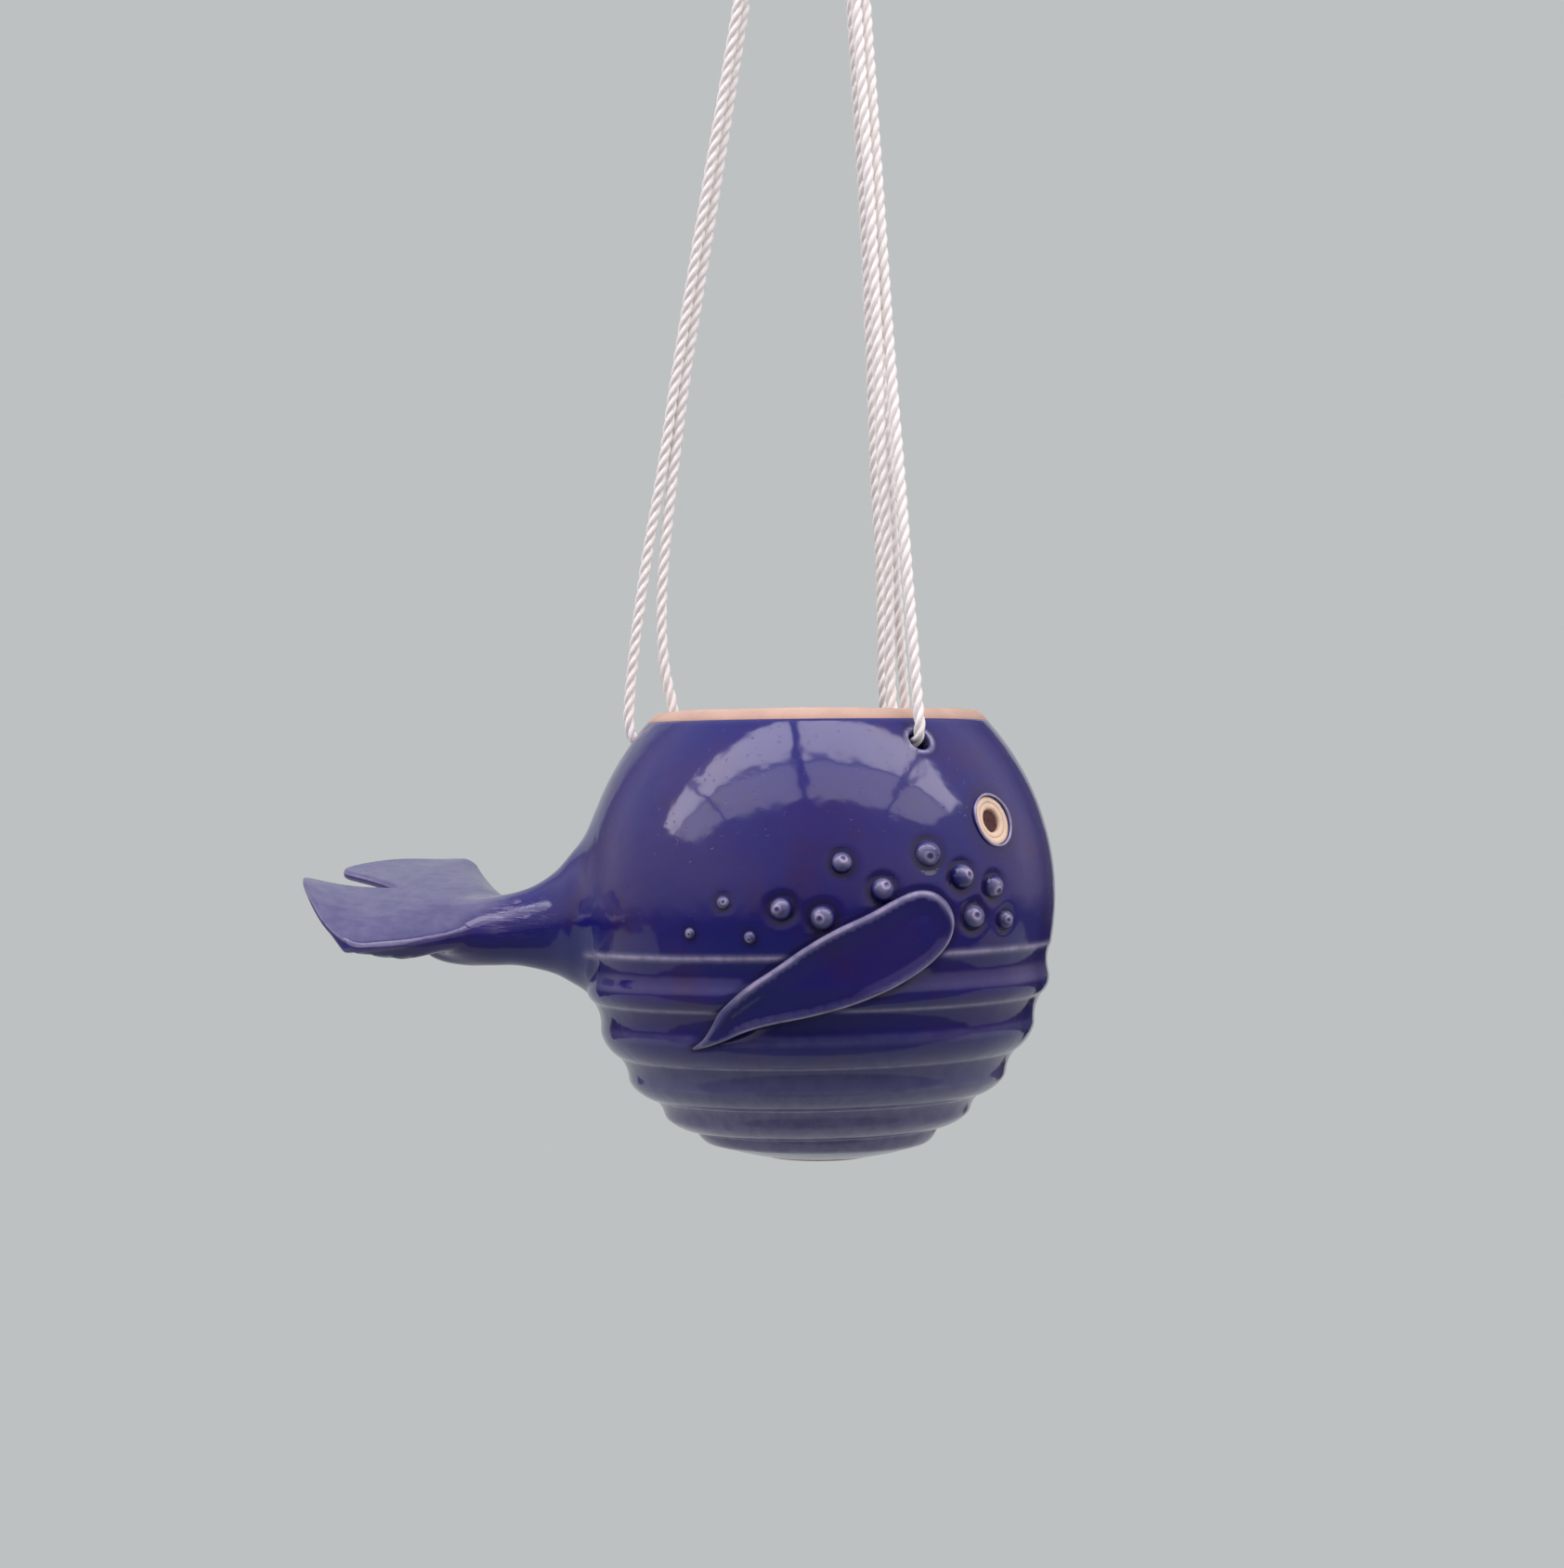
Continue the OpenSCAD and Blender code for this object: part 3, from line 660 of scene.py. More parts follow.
fin_points = [
    (22.8, -43.6), (17.5, -45.6), (12, -48.6), (3, -52.8), (-4, -57), (-11, -61.9), (-16.5, -65.6),
    (-20.4, -69), (-23.8, -72.6), (-25.4, -75.6), (-27.6, -79.2), (-30.4, -81.9),
    (-27.2, -81.3), (-23.6, -79.9), (-17.3, -77), (-11.3, -75.2), (-2, -73.2), (8.4, -70.2),
    (18.4, -65.9), (26.4, -60.7), (30.8, -55.6), (31.9, -50.7), (30.0, -46.3), (26.6, -43.9)]
FIN = curve_through(fin_points, 0.55, closed=True)


def distance_to(points, outline):
    """Distance of each point to a closed outline, and whether it lies inside."""
    a = outline
    b = np.roll(outline, -1, axis=0)
    ab = b - a
    best = np.full(len(points), 1e9)
    inside = np.zeros(len(points), bool)
    for i in range(len(a)):
        t = np.clip(((points - a[i]) @ ab[i]) / max(ab[i] @ ab[i], 1e-12), 0, 1)
        best = np.minimum(best, np.linalg.norm(points - (a[i] + t[:, None] * ab[i]), axis=1))
        crosses = (a[i][1] > points[:, 1]) != (b[i][1] > points[:, 1])
        if abs(ab[i][1]) > 1e-12:
            x = a[i][0] + (points[:, 1] - a[i][1]) * ab[i][0] / ab[i][1]
            inside ^= crosses & (points[:, 0] < x)
    return best, inside


def distance_along(points, line):
    """Distance of each point to an open line."""
    best = np.full(len(points), 1e9)
    for a, b in zip(line, line[1:]):
        ab = b - a
        t = np.clip(((points - a) @ ab) / (ab @ ab), 0, 1)
        best = np.minimum(best, np.linalg.norm(points - a - t[:, None] * ab, axis=1))
    return best


def on_wall(angle, depth, out=0.0):
    return (float(shoulder(depth)) + out) * outward(angle) + np.array([0, 0, RIM - depth])


def wall_axes(angle, tilt):
    """Side, up and out directions of a round mark on the wall."""
    out = outward(angle) * math.cos(math.radians(tilt)) + np.array([0, 0, math.sin(math.radians(tilt))])
    return along(angle), np.cross(out, along(angle)), out


def placed(verts, centre, axes):
    """Points given round the origin, set with their z along the last axis."""
    side, up, out = axes
    return centre + verts[:, :1] * side + verts[:, 1:2] * up + verts[:, 2:] * out


# %% Spin the pot
COLUMNS = 350


def quads(a, b, columns):
    """Faces between two rings of points that start at a and b."""
    return [(a + k, a + (k + 1) % columns, b + (k + 1) % columns, b + k) for k in range(columns)]


def fan(ring, point, columns):
    """Faces from a ring of points to one point."""
    return [(ring + k, ring + (k + 1) % columns, point) for k in range(columns)]


def flipped(faces):
    return [tuple(reversed(f)) for f in faces]


def spin(rows, columns=COLUMNS, loop=False):
    """Closed lathe mesh from rows of (radius, height). Rows of zero radius become single points."""
    verts, starts, faces = [], [], []
    for r, z in rows:
        starts.append(len(verts))
        if r < 1e-6:
            verts.append((0, 0, z))
        else:
            verts += [(r * math.cos(2 * math.pi * k / columns), r * math.sin(2 * math.pi * k / columns), z)
                      for k in range(columns)]
    for j in range(len(rows) - (not loop)):
        n = (j + 1) % len(rows)
        if rows[j][0] < 1e-6:
            faces += flipped(fan(starts[n], starts[j], columns))
        elif rows[n][0] < 1e-6:
            faces += fan(starts[j], starts[n], columns)
        else:
            faces += quads(starts[j], starts[n], columns)
    return np.array(verts, float), faces


def inner_profile():
    """Radius and height of the inside, from the floor up: a curved floor and one arc above it."""
    wide, mouth, tall = 54.5, 37.5, 45.5
    arc_r = ((wide - mouth) ** 2 + tall ** 2) / (2 * (wide - mouth))
    depth = np.linspace(LINES[0][1], 2.9, 30)
    high = np.column_stack([wide - arc_r + np.sqrt(arc_r ** 2 - (depth - BALL_DEPTH) ** 2), -depth])
    low = curve_through([(8, -105.9), (22, -104), (35, -97), (44, -87), (50.5, -75), (53, -66)], 3.0)
    return [(0, -106.0)] + [tuple(p) for p in low[:-1]] + [tuple(p) for p in high]


outside = [tuple(PROFILE[k]) for k in PICK]
underside = [(0, -112.0), (8.0, -112.0)]
pot_verts, pot_faces = spin(underside + outside[::-1] + inner_profile()[::-1])
outer_count = 1 + COLUMNS * (1 + len(outside))
is_outer = np.arange(len(pot_verts)) < outer_count
angle = np.arctan2(pot_verts[:, 1], pot_verts[:, 0])
depth = -pot_verts[:, 2]
radius = np.hypot(pot_verts[:, 0], pot_verts[:, 1])

# Glaze from the profile rows, and paler towards the foot by a plain ramp in depth
row_of = np.concatenate([[0] * (1 + COLUMNS), np.repeat(PICK[::-1], COLUMNS)])
thin, pool = np.zeros((2, len(pot_verts)))
thin[:outer_count] = np.maximum(THIN_ROW[row_of], 0.53 * smooth(73, 101, depth[:outer_count]))
pool[:outer_count] = POOL_ROW[row_of]

# Swells and lean
swell = wheel_drift(angle, depth) * is_outer
scale = np.where(radius > 1, (radius + swell) / np.maximum(radius, 1), 1)
pot_verts[:, :2] *= scale[:, None]
pot_verts[:, 2] += pot_verts[:, 0] * turned(depth)
pot_verts[:, 2] += RIM
direction = np.column_stack([np.cos(angle), np.sin(angle), np.zeros(len(angle))])


def gap_to(place):
    return np.linalg.norm(pot_verts - place, axis=1)


# Moats round the barnacles
for a, d, w in barnacles + [(180 - a, d, w) for a, d, w in barnacles]:
    gap = gap_to(on_wall(a, d))
    near = is_outer & (gap < 2.6 * w)
    g = gap[near] / (w / 2)
    big = float(smooth(2.5, 5.5, w))
    pot_verts[near] -= direction[near] * ((0.10 + 0.38 * big) * bell(g, 1.1, 0.38))[:, None]
    pool[near] = np.maximum(pool[near], bell(g, 1.08, 0.36))
    thin[near] *= 1 - bell(g, 1.05, 0.3)

# Channel along the fins
for side in (-1, 1):
    near = is_outer & (pot_verts[:, 1] * side > 20) & (np.abs(pot_verts[:, 0]) < 36)
    near &= (depth > 38) & (depth < 90)
    index = np.nonzero(near)[0]
    flat = np.column_stack([pot_verts[index, 0], pot_verts[index, 2] - RIM])
    gap, inside = distance_to(flat, FIN)
    gap = np.where(inside, 0, gap)
    pot_verts[index] -= direction[index] * (0.30 * bell(gap, 0, 0.9))[:, None]
    pool[index] = np.maximum(pool[index], 0.95 * bell(gap, 0, 0.85))
    thin[index] *= 1 - 0.9 * bell(gap, 0, 0.8)

# Glaze gathers round the eyes and holes, and runs thin at its upper edge
for a in EYES:
    gap = gap_to(on_wall(a, EYE_DEPTH))
    pool = np.maximum(pool, is_outer * (0.85 * bell(gap, 7.6, 0.7) + 0.5 * bell(gap, 9.6, 0.45)))
for a in HOLES:
    pool = np.maximum(pool, is_outer * 0.8 * bell(gap_to(on_wall(a, HOLE_DEPTH)), 4.9, 0.5))
thin = np.maximum(thin, 0.16 * is_outer * bell(depth, GLAZE_LINE, 1.1))
print("pot:", len(pot_verts), "vertices")


# %% [markdown]
# ## Pockets and holes
# The eye pockets and the three cord holes are cut after throwing, as a potter does with a hole
# cutter and a damp finger. Each cutter for a hole flares at its outer end, so the hole gets a soft lip.

# %% Cut the eye pockets and cord holes
def cutter(parts):
    """One object from several closed meshes."""
    verts, faces = [], []
    for v, f in parts:
        base = sum(len(x) for x in verts)
        verts.append(v)
        faces += [tuple(base + i for i in face) for face in f]
    return new_object("cutter", raw_mesh("cutter", np.vstack(verts), faces))


def bore(rows, columns, angles, depth, tilt):
    """Cutters of one round profile on the wall."""
    verts, faces = spin(rows, columns)
    return [(placed(verts, on_wall(a, depth), wall_axes(a, tilt)), faces) for a in angles]


pot = piece("thrown_pot", pot_verts, pot_faces, "planter", "glaze", "pot_body", GLAZE)
pocket_rows = [(0, -2.4), (6.2, -2.4), (6.2, 6), (0, 6)]
hole_rows = [(0, -12), (2.4, -12), (2.4, -1.5), (2.5, -0.9), (2.8, -0.35), (3.3, 0.0), (3.9, 0.25),
             (4.8, 1.5), (4.8, 4), (0, 4)]
before = points_of(pot.data)
tool = cutter(bore(pocket_rows, 96, EYES, EYE_DEPTH, EYE_TILT)
              + bore(hole_rows, 48, HOLES, HOLE_DEPTH, wall_tilt(HOLE_DEPTH)))
cut_mesh = combined(pot, tool, "DIFFERENCE")
cut_points = points_of(cut_mesh)
nearest, _ = nearest_of(before, cut_points)
new_thin = thin[nearest]
new_pool = pool[nearest]
for a in HOLES:
    out = wall_axes(a, wall_tilt(HOLE_DEPTH))[2]
    rel = cut_points - on_wall(a, HOLE_DEPTH)
    height = rel @ out
    away = np.linalg.norm(rel - height[:, None] * out, axis=1)
    lip = (away < 4.6) & (np.abs(height) < 1.6)
    new_thin = np.where(lip, bell(away, 3.5, 0.6) * 0.85, new_thin)
    deep = (away < 3) & (height < -0.8) & (height > -9)
    new_pool = np.where(deep, 0.9, new_pool)
soften(cut_mesh)
thrown, pot.data = pot.data, cut_mesh
bpy.data.meshes.remove(thrown)
cut_mesh.name = "thrown_pot"
store(cut_mesh, "thin", new_thin)
store(cut_mesh, "pool", new_pool)
print("pot after cutting:", len(cut_mesh.vertices), "vertices,",
      sum(len(f.vertices) - 2 for f in cut_mesh.polygons), "triangles")


# %% [markdown]
# ## The bare rim and foot
# The rim and the foot were wiped clean, so the clay shows. The rim is rolled over and slightly uneven,
# and the glaze ends on it in a wavering brown edge.

# %% Rim and foot
rim_rows = [(42.4, -4.5), (43.1, -4.0), (43.2, -3.5), (42.9, -2.9), (42.5, -2.25), (42.0, -1.6),
            (41.4, -1.0), (40.7, -0.48), (39.9, -0.13), (39.2, 0.0), (38.6, -0.1), (38.05, -0.45),
            (37.7, -1.0), (37.5, -1.8), (37.42, -2.8), (37.42, -3.6), (38.2, -4.4)]
rim_verts, rim_faces = spin(rim_rows, loop=True)
angle = np.arctan2(rim_verts[:, 1], rim_verts[:, 0])
up = smooth(-3, 0, rim_verts[:, 2])
rim_verts[:, 2] += up * (0.10 * np.sin(3 * angle + 1) + 0.07 * np.sin(7 * angle) - 0.16)
rim_verts[:, :2] *= (1 + 0.0015 * up * np.sin(4 * angle + 2))[:, None]
rim_stain = bell(rim_verts[:, 2], -2.9, 0.55) * 0.5
rim_verts[:, 2] += rim_verts[:, 0] * turned(0.0) + RIM
piece("bare_rim_lip", rim_verts, rim_faces, "planter", "bare_clay", "bare_rim", BARE, stain=rim_stain)

foot_rows = [(0, 0), (11.3, 0.0), (12.1, 0.05), (12.8, 0.2), (13.2, 0.45), (13.3, 0.9), (0, 0.9)]
foot_verts, foot_faces = spin([(r, z + FOOT) for r, z in foot_rows], 160)
foot_stain = 0.6 * smooth(0.2, 0.6, foot_verts[:, 2] - FOOT)
foot_verts[:, 2] += RIM
piece("bare_foot_disc", foot_verts, foot_faces, "planter", "bare_clay", "bare_foot", BARE,
      stain=foot_stain)


# %% [markdown]
# ## Slabs of clay
# The fins and the flukes are cut from rolled slabs, so they are made alike: a flat outline, points all
# over it that crowd towards the edge, and a rule that lays the top and the underside in space. The
# edge is rounded by the distance of each point from the outline.

# %% Slab tool
def unit(vectors):
    return vectors / np.linalg.norm(vectors, axis=1)[:, None]


def inward(outline):
    """Unit vectors into a closed outline that runs anticlockwise."""
    tangent = unit(np.roll(outline, -1, axis=0) - np.roll(outline, 1, axis=0))
    return np.column_stack([-tangent[:, 1], tangent[:, 0]])


def slab(outline, lines, grid, top, low, wall, rows):
    """Closed mesh of a slab, whose outline runs anticlockwise. top and low give (n, 3) points from
    (points, distance to the edge); wall gives the points of the side from (outline points, share
    from the top to the underside)."""
    n = len(outline)
    normal = inward(outline)
    inner = []
    for d in lines:
        ring = outline + normal * d
        gap, inside = distance_to(ring, outline)
        inner.append(ring[inside & (gap > 0.96 * d)])
    lo, hi = outline.min(0), outline.max(0)
    nx, ny = ((hi - lo) / grid).astype(int) + 1
    cells = [(lo[0] + (i + 0.5 * (j % 2)) * grid, lo[1] + j * grid * 0.87)
             for j in range(int(ny * 1.2)) for i in range(nx + 1)]
    cells = np.array(cells)
    gap, inside = distance_to(cells, outline)
    inner.append(cells[inside & (gap > lines[-1] + 0.45 * grid)])
    flat = np.vstack([outline] + inner)
    edges = [(i, (i + 1) % n) for i in range(n)]
    co, _, tris, source, _, _ = geometry.delaunay_2d_cdt(
        [Vector(p) for p in flat], edges, [], 1, 1e-5)
    flat = np.array([tuple(p) for p in co])
    place = {old: new for new, olds in enumerate(source) for old in olds}
    edge = [place[i] for i in range(n)]
    gap, _ = distance_to(flat, outline)
    gap[edge] = 0
    upper, lower = top(flat, gap), low(flat, gap)
    count = len(flat)
    verts = [upper, lower]
    faces = [tuple(f) for f in tris] + [tuple(count + i for i in reversed(f)) for f in tris]
    ring_ids = [edge]
    total = 2 * count
    for k in range(1, rows):
        verts.append(wall(outline, k / rows))
        ring_ids.append([total + i for i in range(n)])
        total += n
    ring_ids.append([count + i for i in edge])
    for a, b in zip(ring_ids, ring_ids[1:]):
        faces += [(a[i], b[i], b[(i + 1) % n], a[(i + 1) % n]) for i in range(n)]
    return np.vstack(verts), faces, gap, count


# %% [markdown]
# ## The fins
# A fin is a leaf of clay laid against the wall. Its edge was pinched up into a rounded lip, which the
# glaze leaves pale, and its middle is a little dished and holds the dark glaze.

# %% Fins
def smooth_radius(depth):
    """Radius of the pot without its bands, which the fins lie over."""
    belly = LINES[0][1]
    low = np.interp(depth, [belly, 67, 73, 79.6, 86.2, 92], [59, 58.4, 56.4, 54.4, 50.6, 47])
    return np.where(depth < belly, shoulder(np.minimum(depth, belly)), low)


def fin_surface(flat, out):
    """A point of the side view, laid at a height above the wall of the right side."""
    r = smooth_radius(-flat[:, 1]) + out
    y = -np.sqrt(np.maximum(r * r - flat[:, 0] ** 2, 1))
    return np.column_stack([flat[:, 0], y, flat[:, 1] + RIM])


UPPER_EDGE = np.array([(30.6, -50.8), (29.6, -46.6), (26.6, -44.0)] + fin_points[:12], float)
LOWER_EDGE = np.array(fin_points[12:-2], float)


def lip_width(flat):
    """The pinched lip is broad along the upper edge and round the front, and narrow below."""
    return 0.6 + 0.95 * smooth(-3, 5, distance_along(flat, LOWER_EDGE) - distance_along(flat, UPPER_EDGE))


def fin_height(flat, gap):
    width = lip_width(flat)
    lip = FIN_PROUD - 0.7 + 0.7 * np.sqrt(np.clip(1 - (1 - np.minimum(gap / width, 1)) ** 2, 0, 1))
    dish = 0.85 * smooth(1.1, 1.1 + 3.2, gap / width * 0.8 + 0.2 * gap)
    tip = smooth(-31, -18, flat[:, 0])
    return (lip - dish * (0.5 + 0.5 * tip)) * (0.62 + 0.38 * tip)


def fin_wall(outline, share):
    flat = outline - 0.10 * math.sin(math.pi * share) * inward(outline)
    start = fin_height(outline, np.zeros(len(outline)))
    return fin_surface(flat, start * (1 - share) - FIN_SUNK * share)


fin_verts, fin_faces, fin_gap, fin_count = slab(
    FIN, [0.12, 0.3, 0.55, 0.85, 1.3], 1.0,
    lambda p, g: fin_surface(p, fin_height(p, g)),
    lambda p, g: fin_surface(p, np.full(len(p), -FIN_SUNK)),
    fin_wall, 5)
fin_width = lip_width(np.column_stack([fin_verts[:fin_count, 0], fin_verts[:fin_count, 2] - RIM]))
for side, name in ((1, "right"), (-1, "left")):
    mesh = piece(name + "_fin_slab", fin_verts * np.array([1, side, 1]),
                 fin_faces if side > 0 else flipped(fin_faces), "planter", "glaze", name + "_fin",
                 GLAZE).data
    lip, deep = np.zeros((2, len(fin_verts)))
    lip[:fin_count] = bell(fin_gap / fin_width, 0.55, 0.42)
    deep[:fin_count] = 0.5 * bell(fin_gap, 1.9, 0.7)
    fade = 0.45 + 0.55 * smooth(-23, -17, fin_verts[:, 0])
    store(mesh, "thin", np.clip(0.30 * smooth(0.15, 0.9, bend_of(mesh)) + 0.62 * lip * fade, 0, 1))
    store(mesh, "pool", deep)
print("fin:", len(fin_verts), "vertices")


# %% [markdown]
# ## The eyes
# Each eye is a round of cream clay set in its pocket: a broad outer band, a fine groove, a narrower
# inner band and a rough sunken pupil of iron clay. The glaze creeps up round it in a thin pale lip.

# %% Eyes
def ripple(verts, amount, seed):
    """Move points a little in and out by a smooth random field."""
    local = np.random.default_rng(seed)
    k = local.normal(0, 1, (6, 3)) * 1.3
    ph = local.uniform(0, 6.28, (6, 3))
    out = np.zeros_like(verts)
    for i in range(6):
        out += np.sin(verts @ k[i][:, None] + ph[i]) / 6
    return verts + amount * out


band_rows = [(2.65, -2.35), (6.15, -2.35), (6.18, -0.95), (6.05, -0.62), (5.7, -0.46), (5.1, -0.42),
             (4.75, -0.46), (4.55, -0.56), (4.42, -0.64), (4.28, -0.58), (4.1, -0.54), (3.7, -0.56),
             (3.3, -0.64), (3.0, -0.82), (2.78, -1.15), (2.65, -1.6)]
pupil_rows = ([(0, -2.38), (2.64, -2.38), (2.66, -1.42)]
              + [(2.66 - 0.22 * k, -1.36 - 0.02 * (k % 2)) for k in range(1, 12)] + [(0, -1.4)])


def torus(turns, sides, point):
    """A closed tube. point gives the place for an angle round the ring and one round the tube."""
    verts = [point(2 * math.pi * k / turns, 2 * math.pi * m / sides)
             for k in range(turns) for m in range(sides)]
    faces = [f for k in range(turns) for f in quads(k * sides, (k + 1) % turns * sides, sides)]
    return np.array(verts), faces


def rim_point(t, q):
    """The thin pale roll round an eye, uneven in its width and its run."""
    thick = 0.44 + 0.07 * math.sin(t * 2 + 1.0) + 0.04 * math.sin(5 * t)
    out = 6.42 + 0.05 * math.sin(3 * t + 0.5) + thick * math.cos(q)
    return out * math.cos(t), out * math.sin(t), -0.28 + 1.1 * thick * math.sin(q)


for side, name, a in ((1, "right", EYES[0]), (-1, "left", EYES[1])):
    where = on_wall(a, EYE_DEPTH), wall_axes(a, EYE_TILT)
    verts, faces = spin(band_rows, 96, loop=True)
    r = np.hypot(verts[:, 0], verts[:, 1])
    stain = 0.34 * bell(r, 4.42, 0.18) + 0.6 * bell(r, 2.75, 0.25) + 0.3 * smooth(6.0, 6.2, r)
    piece(name + "_eye_band", placed(ripple(verts, 0.10, 3 + side), *where), faces, "planter", "eye_clay",
          name + "_eye_ring", EYE_CLAY, stain=np.clip(stain, 0, 1))

    verts, faces = spin(pupil_rows, 48)
    verts = ripple(verts, 0.12, 11 + side)
    grain = np.random.default_rng(21 + side).normal(0, 0.07, len(verts))
    verts[:, 2] += grain * (verts[:, 2] > -2)
    piece(name + "_pupil_clay", placed(verts, *where), faces, "planter", "pupil_clay", name + "_pupil",
          PUPIL_CLAY, stain=np.zeros(len(verts)))

    verts, faces = torus(120, 16, rim_point)
    faces = [(a, d, c, b) for a, b, c, d in faces]
    piece(name + "_eye_rim", placed(verts, *where), faces, "planter", "glaze", name + "_eye_lip", GLAZE,
          thin=0.85 * smooth(-0.2, 0.1, verts[:, 2]), pool=np.zeros(len(verts)))


# %% [markdown]
# ## The barnacles
# Twelve small balls of clay are pressed on each side, each a little flattened and no two alike. One
# lumpy ball is modelled and geometry nodes set it on every mark with its own size, turn and squash.

# %% Barnacles in geometry nodes
def barnacle_graph():
    g = Graph("pressed_balls", {"Ball": "Object", "Seed": "Int", "Material": "Material"})
    i = g.start
    size = g.add("GeometryNodeInputNamedAttribute", {"Name": "size"}, data_type="FLOAT").outputs[0]
    out = g.add("GeometryNodeInputNamedAttribute", {"Name": "out"}, data_type="FLOAT_VECTOR").outputs[0]
    ball = g.add("GeometryNodeObjectInfo", {"Object": i["Ball"]}).outputs["Geometry"]
    face_out = g.add("FunctionNodeAlignEulerToVector", {"Vector": out}, axis="Z").outputs[0]

    def random(low, high):
        return g.add("FunctionNodeRandomValue", {0: low, 1: high, "Seed": i["Seed"]},
                     data_type="FLOAT_VECTOR").outputs[0]

    turned_by = g.add("FunctionNodeRotateEuler", {
        "Rotation": face_out, "Rotate By": random((-0.45, -0.45, 0), (0.45, 0.45, 6.28))}, space="LOCAL")
    even = g.add("ShaderNodeCombineXYZ", {"X": size, "Y": size, "Z": size}).outputs[0]
    scale = g.vector("MULTIPLY", random((0.95, 0.95, 0.92), (1.0, 1.0, 1.0)), even)
    balls = g.add("GeometryNodeInstanceOnPoints", {"Points": i["Geometry"], "Instance": ball,
                                                   "Rotation": turned_by.outputs[0], "Scale": scale})
    return g.close(g.add("GeometryNodeRealizeInstances", {"Geometry": balls.outputs[0]}).outputs[0])


def lumpy_ball():
    """A pressed ball of radius 1 whose middle sits at its origin. It stores its own glaze."""
    rows = [(math.cos(t), math.sin(t)) for t in np.radians(np.linspace(-84, 66, 24))]
    rows = [(0, -1.0)] + [(r * (1.0 + 0.04 * max(0.0, -z)), z) for r, z in rows]
    rows += [(0.33, 0.955), (0.27, 0.957), (0.21, 0.94), (0.14, 0.918), (0.07, 0.906), (0, 0.903)]
    verts, faces = spin(rows, 40)
    height = verts[:, 2].copy()
    from_crown = np.hypot(verts[:, 0], verts[:, 1]) + 9 * (height < 0)
    blotch = ripple(verts * 1.6, 1.0, 8)[:, 0] - verts[:, 0] * 1.6
    verts = ripple(verts, 0.05, 5)
    mesh = raw_mesh("ball", verts, faces)
    soften(mesh)
    thin = (0.50 + 0.32 * blotch) * smooth(0.05, 0.75, height) + 0.35 * bell(from_crown, 0.34, 0.08)
    store(mesh, "thin", np.clip(thin * (1 - 0.75 * bell(from_crown, 0, 0.20)), 0, 1))
    deep = 0.9 * (1 - smooth(-0.10, 0.25, height)) + 0.4 * bell(from_crown, 0, 0.19)
    store(mesh, "pool", np.clip(deep, 0, 1))
    return new_object("ball", mesh)


BALLS = barnacle_graph()
ball = lumpy_ball()
for side, name in ((1, "right"), (-1, "left")):
    mirror = np.array([1, side, 1])
    mesh = raw_mesh("marks", np.array([on_wall(a, d, -0.1 * w) for a, d, w in barnacles]) * mirror)
    store(mesh, "size", [w / 2 * 0.985 for _, _, w in barnacles])
    outs = np.array([wall_axes(a, wall_tilt(d))[2] for a, d, w in barnacles]) * mirror
    layer = mesh.attributes.new("out", "FLOAT_VECTOR", "POINT")
    layer.data.foreach_set("vector", outs.astype(np.float32).ravel())
    made = grow(new_object("marks", mesh), BALLS, {"Ball": ball, "Seed": 4 + side, "Material": GLAZE},
                name + "_barnacle_balls")
    settle(made, "planter", "glaze", name + "_barnacles")
    print(made.name, len(made.data.vertices), "vertices")
bpy.data.objects.remove(ball)


# %% [markdown]
# ## The tail
# The stock is drawn out of the wall: it starts flat against the belly, leaves it in one even sweep and
# ends under the flukes. Every line along it is a curve that starts in the wall's own direction, so
# the two glazed surfaces meet without a crease.

# %% Tail stock
stock_sections = [  # middle (x, y, height), half width, half height, yaw, roll
    ((-61, 0.5, -52.0), 15.8, 17.3, 4, 0), ((-65.7, 1.0, -53.5), 12.5, 13.3, 6, 2),
    ((-70.7, 1.8, -54.6), 11.0, 10.8, 10, 4), ((-76, 2.8, -55.2), 10.8, 9.3, 14, 8),
    ((-82, 4.4, -55.7), 11.8, 8.8, 18, 10), ((-89, 6.6, -56.2), 11.3, 8.4, 20, 9),
    ((-97, 8.6, -55.6), 8.8, 7.2, 20, 10), ((-104, 11.0, -52.6), 4.2, 4.0, 20, 12)]
AROUND = 96


def section(mid, wide, high, yaw, roll, q):
    yaw, roll = math.radians(yaw), math.radians(roll)
    across = np.array([math.sin(yaw), math.cos(yaw), 0])
    u, v = wide * np.cos(q), high * np.sin(q)
    du, dv = u * math.cos(roll) - v * math.sin(roll), u * math.sin(roll) + v * math.cos(roll)
    return np.array(mid) + du[:, None] * across + dv[:, None] * np.array([0, 0, 1.0])


def hugged(ring, normal, share, sink):
    """Bring a ring near the wall down to a share of its height over the pot as it was thrown."""
    out = []
    for p, n in zip(ring + np.array([0, 0, RIM]), normal):
        hit, _, _, _ = wall_tree.ray_cast(Vector(p + 8 * n), Vector(-n), 20.0)
        foot = np.array(hit) if hit else p
        out.append(foot + n * (max(0.0, float((p - foot) @ n)) * share - sink))
    return np.array(out) - np.array([0, 0, RIM])


q = np.linspace(0, 2 * math.pi, AROUND, endpoint=False)
rings = []
later = np.stack([section(*s, q) for s in stock_sections])
first, second = later[:2]
